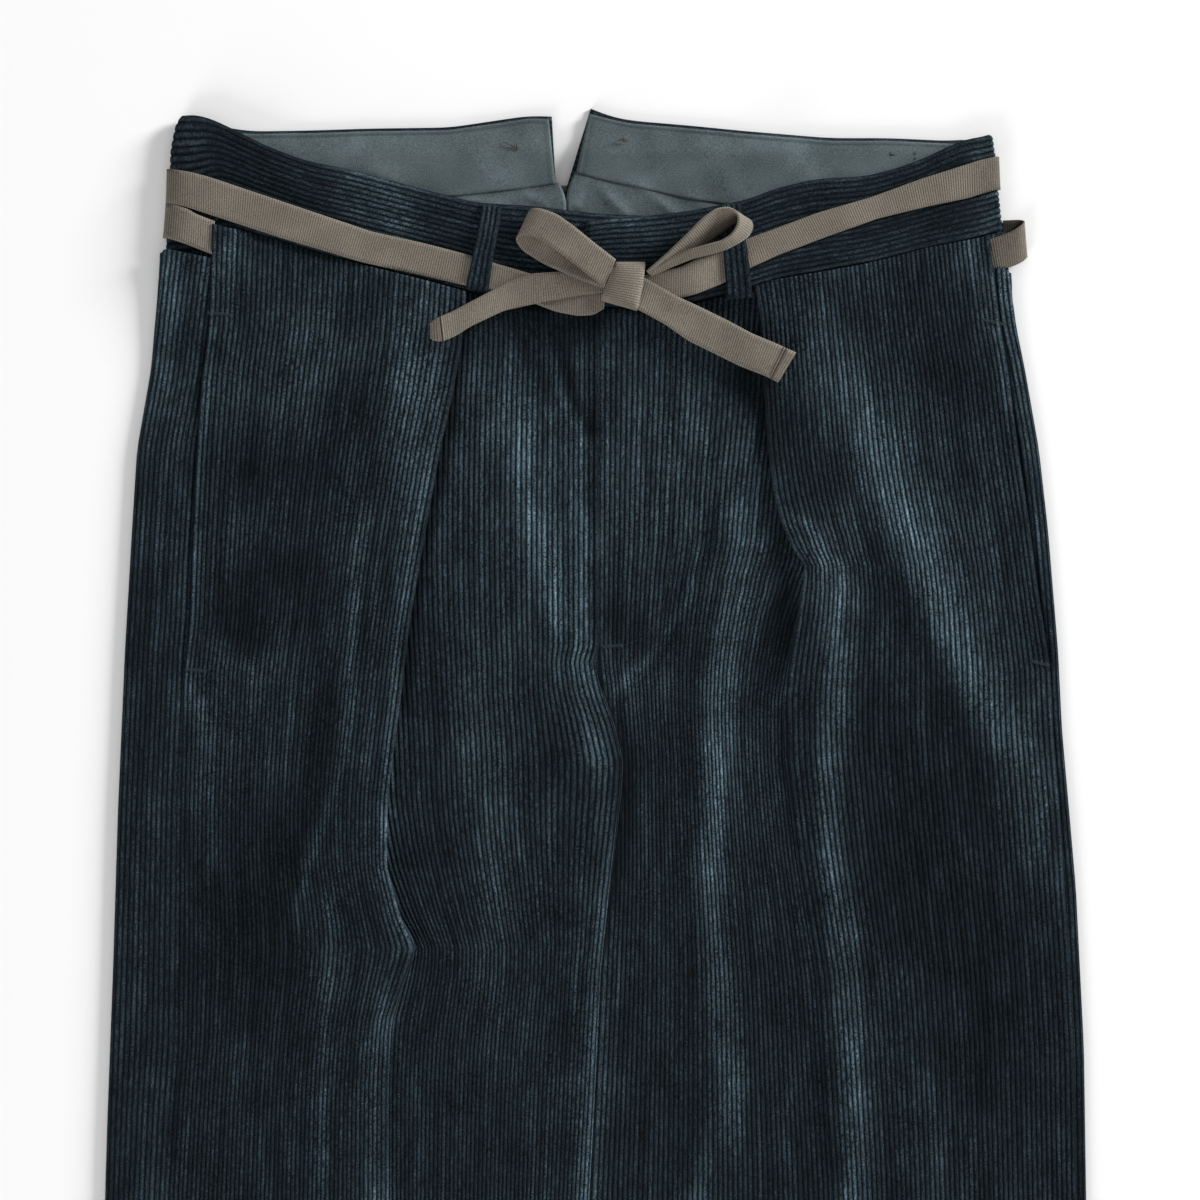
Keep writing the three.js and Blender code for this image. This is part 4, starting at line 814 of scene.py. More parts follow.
def buildFrontPanel(side):
    # the section at each height, resampled at the wales, on the lay of the garment with its ridges and sewn
    # lines
    spec = {**frontPanel, **frontPanel[side]}
    height = rowHeights(spec["rows"])
    top = height[0]
    nearWaist = ramp(spec["shapedFrom"], top, height)
    corner = bandLow(bandFront, side, sideEdge[side]["x"][-1]) - spec["underBand"]
    sideY = mix(height, height - top + corner, nearWaist)
    x, z, length, tip, seenAt, grainAt, jog = frontPath(side, height, sideY)
    sideWales, centre, inner = spec["sideWales"], spec["centreWales"], spec["innerWales"]
    total = length[:, -1:]
    across, target = placeWales([
        (-sideWales, 0, 0 * tip, tip), (0, centre, tip, grainAt), (centre, centre + inner, grainAt, total)])
    # the fold's jogs move only the wales beside it, and the others keep to the grain
    away = 1 - np.exp(-np.abs(across) / spec["jogWales"])
    target -= jog * away * np.where(across < 0, 1 + across / sideWales, np.clip(1 - across / centre, 0, 1))
    if side == "right":
        # the wales beside the meeting line bend with it
        target += (seenAt - grainAt) * ramp(centre - spec["bendWales"], centre, across) * (across <= centre)
        seenWale = centre + 0 * tip
    else:
        seenWale = np.minimum(centre * (seenAt - tip) / (grainAt - tip), centre)
    beyond = seenAt + (across - seenWale) / (centre + inner - seenWale) * (total - seenAt)
    target = np.where(across > seenWale, beyond, target)
    path = resample(np.stack([x, z], axis=-1), length, target)
    x, lift = path[..., 0], path[..., 1]
    y = height[:, None] + nearWaist[:, None] * (bandLow(bandFront, side, x) - spec["underBand"] - top)
    z = layHeight(x, y) + lift
    # the fold between the legs is flat where it rests on the floor
    clear = np.where(across > centre, ramp(*spec["foldClear"], z), 1)
    z += (layRidges(fineRidges, x, y) + layRidges(grooves[side], x, y)) * clear
    if side == "left":
        z += flyRise(x, y)
    z = np.maximum(z, levels["floor"] - spec["sunk"])
    # the side edge is sewn down below the pocket slit and stands up along it
    slit = ramp(slitEnd[side] - spec["slitFade"], slitEnd[side] + spec["slitFade"], y)
    z += mix(spec["edgeDip"], spec["edgeRise"], slit) * bell(target, spec["edgeWidth"])
    mid = np.stack([x, y, z], axis=-1)
    # rows run down and columns run from the side to the middle, which is +X on the right leg
    raised = ramp(0, 2, z - levels["floor"])
    up = mix(spec["foldWall"], clothWall["up"] + clothWall["wale"] * waleProfile(across), raised)
    uv = gridPair(across + 200, (y + 600) / levels["walePitch"], x.shape)
    # its attribute carries the panels' painted light and shade with the pile's brushing
    piece, _ = shell(f"frontPanel_{side}", mid, uv, up, clothWall["down"], coarse=5, facing=outward[side],
                     napAndPaintedLight=panelNapAndPaintedLight(x, y))
    finishPiece(piece, corduroy, (f"front_panel_{side}",))

for side in sides:
    buildFrontPanel(side)
print("front panels made")

# back panels

backPanel = {
    "right": {
        "stripWales": 12, "flat": (330, 1010), "area": 285000, "stripTop": 445, "topSlope": 0.2,
        "centreSeam": (-13.5, -2)},
    "left": {
        "stripWales": 10, "flat": (330, 1010), "area": 270000, "stripTop": 435, "topSlope": 0,
        "centreSeam": (-12.9, -1.4)},
    "rows": [(444, 380, 6), (380, 200, 8), (200, -515, 10)],
    "floorWales": 88, "turnWales": 3, "shapedFrom": 404, "underBand": 0.4, "stripUnder": 0.5, "innerGap": 0.4,
    "sideLift": 1.6, "sideFrom": (188, 198), "seamTop": 463, "seamLength": 241, "slitFade": 8,
    "lap": 0.8, "tuck": 6.2, "tuckDrop": 1.3, "edgeDip": 0.6, "edgeWidth": 2.2,
    "cornerCut": 2.6, "cornerWidth": 1.3, "leastWale": 0.02, "leastStripWale": 0.03,
    "steps": {"floor": 120, "turn": 14, "strip": 39},
}

# soft troughs on the side that rests on the floor, from the seat down: x, y, height and half-width
backCreases = [
    [(-16, 236, 0.4, 8), (-48, 268, 1.0, 10), (-92, 292, 0.8, 11), (-128, 300, 0.2, 11)],
    [(18, 232, 0.4, 8), (52, 258, 1.0, 10), (88, 276, 0.8, 11), (126, 280, 0.2, 11)],
    [(-30, 190, 0.3, 8), (-70, 206, 0.8, 10), (-108, 204, 0.3, 10)],
    [(34, 172, 0.3, 8), (66, 188, 0.9, 9), (104, 196, 0.5, 10), (132, 190, 0.1, 10)],
    [(-196, 334, 0.3, 10), (-160, 318, 0.8, 11), (-122, 322, 0.2, 11)],
    [(190, 300, 0.3, 10), (158, 322, 0.8, 11), (116, 330, 0.2, 11)],
    [(-190, 64, 0.2, 11), (-150, 42, 0.8, 12), (-104, 48, 0.5, 11), (-70, 62, 0.1, 11)],
    [(80, 26, 0.2, 11), (128, 6, 0.9, 12), (180, 16, 0.4, 11)],
    [(-184, -60, 0.2, 11), (-128, -86, 0.8, 12), (-80, -80, 0.2, 11)],
    [(86, -98, 0.2, 11), (142, -118, 0.8, 12), (196, -104, 0.3, 12)],
    [(-168, -236, 0.2, 12), (-118, -264, 0.7, 12), (-80, -256, 0.2, 12)],
    [(92, -300, 0.2, 12), (136, -320, 0.7, 13), (180, -308, 0.2, 12)],
    [(-122, 150, 0.2, 10), (-124, 20, 0.5, 12), (-128, -200, 0.6, 13), (-130, -420, 0.3, 13)],
    [(124, 150, 0.2, 10), (127, 0, 0.5, 12), (130, -220, 0.6, 13), (132, -430, 0.3, 13)],
]

def buildBackPanel(side):
    # the section of one panel: along the floor from the middle, round the outer fold as a half circle and
    # back over to the side edge, where it tucks in under the front panel along the pocket slit
    spec = {**backPanel, **backPanel[side]}
    steps = spec["steps"]
    out = outward[side]
    height = rowHeights(spec["rows"])[:, None]
    top = height[0]
    nearWaist = ramp(spec["shapedFrom"], top, height)
    sideY = mix(height, height - top + spec["stripTop"], nearWaist)
    fold = out * read(outerFold[side], "x", sideY, softening["fold"])
    seam = out * read(sideEdge[side], "x", sideY, softening["side"])
    stripLevel = layHeight(out * seam, sideY) - spec["stripUnder"]
    radius = (stripLevel - levels["floor"]) / 2
    # the middle edge: the centre back seam down to the crotch, the inside fold of the leg below it
    edge = innerEdge(side, height)
    below = (layHeight(edge, height) - levels["floor"]) / 2
    seamX = mix(*spec["centreSeam"], np.clip((spec["seamTop"] - height) / spec["seamLength"], 0, 1))
    inner = out * mix(seamX, edge + out * (below + spec["innerGap"]), foldedShare(height))
    slit = ramp(slitEnd[side] - spec["slitFade"], slitEnd[side] + spec["slitFade"], sideY)
    u = mix(inner, fold - radius, np.linspace(0, 1, steps["floor"])[None])
    bandEdge = bandLow(bandBack, side, out * u) + spec["sideLift"] * ramp(*spec["sideFrom"], u)
    floorY = height + nearWaist * (bandEdge - spec["underBand"] - top)
    parts = [(u, floorY, levels["floor"] + crossingHeight(floorY) + layRidges(backCreases, out * u, floorY))]
    angle = math.pi * shares(steps["turn"])
    raised = levels["floor"] + crossingHeight(sideY)
    turnZ = raised + (stripLevel - raised) / 2 * (1 - np.cos(angle))
    parts.append((fold - radius + np.sin(angle) * radius, sideY, turnZ))
    tucked = spec["lap"] + spec["tuck"] * slit
    u = mix(fold - radius, seam - tucked, shares(steps["strip"]))
    drop = spec["tuckDrop"] * slit * (1 - ramp(seam - 1, seam + 2.5, u))
    dip = spec["edgeDip"] * (1 - slit) * bell(u - seam, spec["edgeWidth"])
    parts.append((u, sideY, stripLevel - drop - dip))
    x, y, z = (np.concatenate([np.broadcast_arrays(*part)[k] for part in parts], axis=1) for k in range(3))
    # the strip's top edge falls inwards and its outer corner is cut off
    fromFold = fold - x
    inStrip = np.arange(x.shape[1])[None] >= steps["floor"]
    topShape = spec["topSlope"] * fromFold + spec["cornerCut"] * bell(fromFold, spec["cornerWidth"])
    y = y - nearWaist * topShape * inStrip
    x = out * x
    length = rowLengths(x, z)
    floorStop, turnStop = steps["floor"], steps["floor"] + steps["turn"]
    floorEnd, turnEnd = length[:, floorStop - 1:floorStop], length[:, turnStop - 1:turnStop]
    total = length[:, -1:]
    behind = spec["floorWales"]
    first = behind + spec["turnWales"]
    last = first + spec["stripWales"]
    across, target = placeWales([
        (0, behind, 0 * turnEnd, floorEnd), (behind, first, floorEnd, turnEnd),
        (first, last, turnEnd, total - tucked), (last, last + 2, total - tucked, total)])
    # the wales keep to the grain behind: where the middle edge steps, they end at it
    smoothed = np.pad(floorEnd[:, 0], 4, mode="edge")
    smoothed = np.convolve(smoothed, np.ones(9) / 9, mode="valid")[:, None]
    onGrain = floorEnd - (behind - across) * (smoothed + levels["walePitch"]) / behind
    target = np.where(across <= behind, np.maximum(onGrain, spec["leastWale"] * across), target)
    # the strip's wales keep their width and are cut off by the seam
    room = total - tucked - turnEnd
    pitch = np.maximum(levels["walePitch"], room / spec["stripWales"])
    cut = turnEnd + np.minimum(pitch * (across - first), room - spec["leastStripWale"] * (last - across))
    target = np.where((across >= first) & (across < last), cut, target)
    mid = resample(np.stack([x, y, z], axis=-1), length, target)
    # the underside stays flat where it rests, so its wales are pressed down there
    pressed = ramp(0, 3, mid[..., 2] - levels["floor"])
    up = mix(floorWall(across), clothWall["up"] + clothWall["wale"] * waleProfile(across), pressed)
    uv = gridPair(across + 400, (mid[..., 1] + 600) / levels["walePitch"], pressed.shape)
    # painted light and shade with the pile's brushing, kept only where the back rises off the floor
    napAndPaintedLight = panelNapAndPaintedLight(mid[..., 0], mid[..., 1]) * pressed
    piece, _ = shell(f"backPanel_{side}", mid, uv, up, clothWall["downBehind"], coarse=5, facing=out, napAndPaintedLight=napAndPaintedLight)
    finishPiece(piece, corduroy, (f"back_panel_{side}",))

def floorWall(across):
    # the wall of cloth that rests on the floor: its wales lie flat and only their valleys rise from it
    return clothWall["floor"] - clothWall["floorWale"] * (1 - waleProfile(across))

for side in sides:
    buildBackPanel(side)
print("back panels made")

# waistband

waistband = {
    "wales": 17, "station": 3.0, "depth": 48, "up": 0.5, "down": 0.7, "waleBack": 0.12, "waleFront": 0.36,
    "waleSide": 0.3, "napAndPaintedLight": 0.05, "roll": 0.7, "rollWidth": 1.6, "round": 1.7, "sideDrop": 1.5,
    "sideReach": 7, "sideWidth": 5, "bulgeAt": 0.27, "bulgeWidth": 0.18, "cornerReach": 8,
    "right": {"flat": (505, 50), "area": 22000, "bulge": 1.9, "cornerRound": 2.2, "cornerDrop": 0},
    "left": {"flat": (455, 50), "area": 20000, "bulge": 0.4, "cornerRound": 0.9, "cornerDrop": 1.5},
}
# patches on the front of the band: painted light and shade with the pile's brushing: x, y, how much as a
# power of two, and half-width
bandNapAndPaintedLight = [
    [(-200, 500, 0.4, 5), (-200, 480, 0.4, 5)],
    [(-180, 490, -0.5, 14), (-135, 474, -0.5, 14)],
    [(-118, 482, 0.9, 12), (-104, 470, 0.9, 10), (-96, 452, 0.5, 9)],
    [(-84, 470, -0.3, 8), (-78, 450, -0.2, 8)],
    [(-45, 458, -0.1, 12), (-20, 440, -0.2, 14)],
    [(-6, 456, 0.5, 8), (22, 454, 0.4, 8)],
    [(34, 432, -0.5, 10), (48, 430, -0.5, 10)],
    [(90, 470, -0.2, 14), (130, 455, -0.4, 14), (175, 470, -0.4, 14)],
    [(196, 494, 0.3, 6), (198, 458, 0.5, 5)],
]
bandCreases = [
    [(-176, 500, 0.8, 5), (-150, 478, 0.4, 7)],
    [(-110, 478, 0.4, 6), (-104, 440, 0.5, 7)],
    [(-30, 462, 0.4, 6), (-26, 420, 0.4, 6)],
    [(120, 478, 0.4, 6), (118, 440, 0.5, 7)],
    [(176, 494, 0.5, 5), (172, 452, 0.4, 6)],
    [(40, 458, 0.5, 6), (42, 420, 0.4, 6)],
]

def smoothLine(points, spacing, rounds=6):
    # a line through the points with a place every spacing; each round moves every place halfway to its
    # neighbours
    points = np.asarray(points, dtype=float)
    reach = distances(points[:, :2])
    at = np.linspace(0, reach[-1], max(int(reach[-1] / spacing), 3) + 1)
    line = columnsAt(at, reach, points)
    for _ in range(rounds):
        line[1:-1] = 0.25 * line[:-2] + 0.5 * line[1:-1] + 0.25 * line[2:]
    return line

def buildWaistband(side):
    # a strip ruled between its two edges, from the front end round the side as a half circle to the fishtail
    # tip
    spec = {**waistband, **waistband[side]}
    out = outward[side]
    front = smoothLine(bandFront[side], spec["station"])
    back = smoothLine([(*row, 0) for row in bandBack[side]], spec["station"])
    turns = np.linspace(0, math.pi, 12)[1:-1]
    high = (1 + np.cos(turns)) / 2
    turning = mix(back[0], front[-1], high[:, None])
    turning[:, [0, 2]] += (out * spec["round"] * np.sin(turns))[:, None]
    line = np.concatenate([front, turning, back])
    inFront = np.concatenate([np.ones(len(front)), high, np.zeros(len(back))])[:, None]
    toSide = np.abs(line[:, 0:1] - turning[len(high) // 2, 0])
    across = waleColumns(0, spec["wales"])
    share = (across / spec["wales"])[None]
    x = mix(line[:, 0:1], line[:, 2:3], share)
    y = mix(line[:, 1:2], line[:, 3:4], share)
    # the side bulges out above half its depth and its top corner is round
    fromTop, fromLow = share * spec["depth"], (1 - share) * spec["depth"]
    rounding = spec["cornerRound"] * bell(fromTop, spec["cornerRound"])
    atSide = bell(toSide, spec["sideWidth"])
    x = x + out * atSide * (spec["bulge"] * bell(share - spec["bulgeAt"], spec["bulgeWidth"]) - rounding)
    y = y - spec["cornerDrop"] * bell(toSide, spec["cornerReach"]) * (1 - share)
    drop = spec["sideDrop"] * bell(toSide, spec["sideReach"])
    z = mix(levels["floor"] + crossingHeight(y), levels["band"] + line[:, 4:5] - drop, inFront)
    # the band is soft: it dips a little between its seams and rolls at its edges
    z = z - inFront * spec["roll"] * (bell(fromTop, spec["rollWidth"]) + bell(fromLow, spec["rollWidth"]))
    z = z + inFront * layRidges(bandCreases, x, y)
    mid = np.stack([x, y, z], axis=-1)
    waleHeight = mix(spec["waleBack"], spec["waleFront"], inFront) + spec["waleSide"] * atSide
    up = np.where(inFront < 0.5, floorWall(across)[None], spec["up"] + waleHeight * waleProfile(across)[None])
    along = np.arange(len(line))[:, None] * spec["station"] / levels["walePitch"]
    uv = gridPair(across + 700, along, x.shape)
    # painted light and shade with the pile's brushing on the band's front, raised evenly everywhere
    napAndPaintedLight = layNapAndPaintedLight(bandNapAndPaintedLight, x, y) * inFront + spec["napAndPaintedLight"]
    piece, outer = shell(f"band_{side}", mid, uv, up, spec["down"], coarse=5, facing=out, napAndPaintedLight=napAndPaintedLight)
    finishPiece(piece, corduroy, (f"waistband_{side}",))
    return outer[:len(front)]

bandTops = {side: buildWaistband(side) for side in sides}
print("waistband made")

# lining inside the back

liningShape = {
    "spacing": 1.2, "columns": 40, "wall": 0.35, "inner": 0.3, "folds": 1.5, "bendReach": 6, "uvPitch": 2.5,
    "stitchIn": 1.9, "stitchWidth": 0.55, "stitchDepth": 0.25, "edgeWidth": 0.9, "edgeDepth": 0.2,
    "slopeLight": 1.8, "foldLight": 0.4, "stitchShade": -0.7, "edgeShade": -0.9,
    "seamShade": -0.5, "seamWidth": 2.5,
}
facingPiece = {
    "right": {
        "stations": [
            (-186, 503, -184, 470), (-172, 502, -168, 469), (-143, 502.5, -140, 468.5),
            (-113, 503.5, -110, 469), (-75, 504, -75, 470.2), (-53, 507, -52.2, 472.7),
            (-33, 510, -32.2, 475.2), (-23.4, 509.5, -20, 477)],
        "flat": (168, 36), "area": 5600},
    "left": {
        "stations": [
            (180, 497, 178, 465), (147, 498.5, 145, 464), (117, 498.5, 114, 464), (77, 502, 74, 465.5),
            (47, 505, 47, 469.2), (17, 507.5, 20, 475.5), (7.5, 509.5, 7, 478), (-3.3, 512.4, -9.8, 482.4)],
        "flat": (190, 36), "area": 6400},
}
bodyLining = {
    "right": {
        "stations": [
            (-100, 470.4, -100, 452), (-75, 471.4, -75, 449), (-52.2, 473.8, -52, 446),
            (-32.2, 476.2, -32, 446), (-24, 477.4, -22, 452), (-18.4, 478, -14.7, 462.5)],
        "bend": 1.4, "flat": (86, 36), "area": 2200},
    "left": {
        "stations": [
            (80, 466.2, 80, 450), (47, 470.4, 47, 446), (20, 476.6, 20, 446), (8, 479, 4, 452),
            (-10.2, 483.2, -14.1, 462.5)],
        "bend": -2, "flat": (96, 40), "area": 2600},
}
# soft folds in the lining: x, y, height and half-width
liningFolds = [
    [(-70, 470, 0.5, 3), (-45, 466, 0.7, 3)],
    [(-34, 473, 0.6, 2.5), (-24, 467, 0.5, 2.5)],
    [(40, 462, 0.6, 3), (26, 474, 0.7, 3), (20, 478, 0.2, 3)],
    [(16, 462, 0.8, 3), (8, 470, 0.8, 3), (2, 477, 0.3, 3)],
    [(-4, 478, 0.4, 2.5), (-8, 466, 0.6, 2.5)],
    [(58, 462, 0.4, 4), (50, 470, 0.4, 4)],
    [(-119, 500, 0.3, 4), (-113, 488, 0.5, 5), (-100, 480, 0.4, 6)],
    [(-60, 500, 0.3, 6), (-48, 482, 0.4, 6)],
    [(60, 498, 0.3, 7), (70, 474, 0.5, 6)],
    [(24, 500, -0.3, 5), (30, 486, -0.4, 5)],
    [(100, 496, 0.3, 6), (110, 478, 0.4, 7)],
    [(-152, 500, 0.3, 5), (-146, 486, 0.4, 6)],
]

def buildLining(name, nodeName, spec, sewn, lowering=0.0):
    # a strip ruled between its two edges, with soft folds and, where sewn, a pressed line inside its edges;
    # its brightness is painted light and shade: lighter on the folds' tops and on one flank of each, darker
    # in their troughs and on the other flank, in the pressed line, at the sewn lower edge and beside the
    # unsewn edge
    shape = liningShape
    line = smoothLine(spec["stations"], shape["spacing"])
    share = np.linspace(0, 1, shape["columns"])[None]
    x = mix(line[:, 0:1], line[:, 2:3], share)
    y = mix(line[:, 1:2], line[:, 3:4], share)
    toEnd = np.abs(line[:, 0:1] - line[-1, 0])
    x = x + spec.get("bend", 0) * np.sin(math.pi * share) * np.exp(-toEnd / shape["bendReach"])
    folds = shape["folds"] * layRidges(liningFolds, x, y)
    depth = np.hypot(line[:, 0:1] - line[:, 2:3], line[:, 1:2] - line[:, 3:4])
    inward = np.minimum(share * depth, toEnd)
    pressed = bell(inward - shape["stitchIn"], shape["stitchWidth"]) * sewn
    lowEdge = bell((1 - share) * depth, shape["edgeWidth"]) * sewn
    z = levels["facing"] - levels["crossing"] + crossingHeight(y) - lowering + folds
    z = z - shape["stitchDepth"] * pressed - shape["edgeDepth"] * lowEdge
    facing = 1 if line[-1, 0] > line[0, 0] else -1
    # painted light and shade on the folds, and painted shade in the pressed line, at the lower edge and
    # beside the unsewn seam
    napAndPaintedLight = shape["slopeLight"] * np.gradient(folds, axis=0) * facing + shape["foldLight"] * folds
    napAndPaintedLight += shape["stitchShade"] * pressed + shape["edgeShade"] * lowEdge
    napAndPaintedLight += shape["seamShade"] * (1 - sewn) * bell(share * depth, shape["seamWidth"])
    mid = np.stack([x, y, z], axis=-1)
    uv = mid[..., :2] / shape["uvPitch"]
    piece, _ = shell(name, mid, uv, shape["wall"], shape["inner"], facing=facing, napAndPaintedLight=napAndPaintedLight)
    finishPiece(piece, lining, (nodeName,))

for side in sides:
    buildLining(f"facing_{side}", f"waistband_facing_{side}", facingPiece[side], 1)
    buildLining(f"bodyLining_{side}", f"back_lining_{side}", bodyLining[side], 0, 0.5)
print("lining made")

# tapes

tapeShape = {
    "width": 15, "wall": 0.36, "rib": 0.16, "ribPitch": 1.2, "selvedge": 0.08, "selvedgeWidth": 0.8,
    "step": 0.3, "across": 8, "rounding": 1.2, "rounds": 3, "leastFlat": 10.1, "shadeFade": (-6, 2),
    "hemEdge": 0.3, "hemRise": 0.6, "hemTone": -0.2, "hemToneFrom": (2.6, 3.4),
    "stitchIn": 1.1, "stitchWidth": 0.45, "stitchDepth": 0.45, "stitchShade": -1.3,
}
onBand = 8.12
onTape = onBand + 1.3
onLap = onBand + 2
floorTape = 0.62
crossedTape = 1.8
knotTop = onLap + 5.2
slitLevel = 4.8

def curveThrough(points, spacing):
    # a line through the points with even places, measured along the middle of the tape; each round takes the
    # mean of every place and those within the rounding, with the ends mirrored
    points = np.asarray(points, dtype=float)
    reach = distances((points[:, :3] + points[:, 3:]) / 2)
    at = np.linspace(0, reach[-1], max(int(reach[-1] / spacing), 4) + 1)
    line = columnsAt(at, reach, points)
    near = max(int(tapeShape["rounding"] / spacing), 1)
    kernel = np.ones(2 * near + 1) / (2 * near + 1)
    for _ in range(tapeShape["rounds"]):
        padded = np.concatenate([2 * line[:1] - line[near:0:-1], line, 2 * line[-1:] - line[-2:-near - 2:-1]])
        line = np.stack([np.convolve(column, kernel, mode="valid") for column in padded.T], axis=1)
    return line, at

def buildTape(name, nodeName, spec):
    # a tape ruled between its two edges, with ribs across it and a thicker selvedge; a hem is a thick folded
    # end behind a pressed line of stitching painted darker as shade in its groove; dim paints shade on the
    # tape's start where it turns down round the band, shade paints shade on one side of its end where it lies
    # inside the standing loop, and tone darkens all of it
    shape = tapeShape
    line, at = curveThrough(spec["stations"], shape["step"])
    share = np.linspace(0, 1, shape["across"] + 1)[:, None]
    mid = mix(line[None, :, :3], line[None, :, 3:], share[..., None])
    fromMiddle = 2 * share - 1
    mid[..., 2] += spec.get("crown", 0) * (1 - fromMiddle ** 2 - 0.8 * fromMiddle ** 6)
    ribs = spec.get("ribs", 1) * shape["rib"] * waleProfile(at / shape["ribPitch"])[None]
    edge = shape["selvedge"] * bell(np.minimum(share, 1 - share) * shape["width"], shape["selvedgeWidth"])
    toEnd = at[-1] - at[None]
    hem = spec.get("hem", 0)
    folded = (1 - ramp(hem - shape["hemEdge"], hem + shape["hemEdge"], toEnd)) * (hem > 0)
    pressed = bell(toEnd - hem + shape["stitchIn"], shape["stitchWidth"]) * (hem > 0)
    up = shape["wall"] + ribs + edge + shape["hemRise"] * folded - shape["stitchDepth"] * pressed
    near, darker = spec.get("dim", (1, 0))
    # painted shade in the pressed stitch line, then dim's painted shade at the start and shade's at the end
    napAndPaintedLight = shape["stitchShade"] * pressed + shape["hemTone"] * folded * ramp(*shape["hemToneFrom"], toEnd)
    napAndPaintedLight = napAndPaintedLight + spec.get("tone", 0) + darker * (1 - ramp(0, near, at[None]))
    reach, amount, onOuter = spec.get("shade", (1, 0, 0))
    before, after = shape["shadeFade"]
    shaded = amount * (1 - ramp(reach + before, reach + after, toEnd))
    uv = gridPair(share, at / shape["ribPitch"], up.shape)
    piece, _ = shell(name, mid, uv, up, up, napAndPaintedLight=napAndPaintedLight + onOuter * shaded, innerNapAndPaintedLight=napAndPaintedLight + (1 - onOuter) * shaded)
    finishPiece(piece, ribbedTape, (nodeName,))

def level(z, *edges):
    # stations where both edges of the tape lie at one height: x and y of each edge
    return [(ax, ay, z, bx, by, z) for ax, ay, bx, by in edges]

def roundSide(top, low, slopes, out, fromZ):
    # the tape's turn round the side of the waistband, from its top side down to the floor; top and low are
    # the ends of its two edges, which fall by slopes on their way inwards
    steps = [
        (-10, fromZ), (-6, fromZ - 0.3), (-2.5, fromZ - 1), (0.3, fromZ - 2.2), (1.6, fromZ - 4),
        (1.9, floorTape + 1.6), (0.9, floorTape + 0.2)]
    edges = ((*top, slopes[0]), (*low, slopes[1]))
    return [tuple(value for x, y, slope in edges for value in (x + out * dx, y + slope * min(dx, 0), z))
            for dx, z in reversed(steps)]

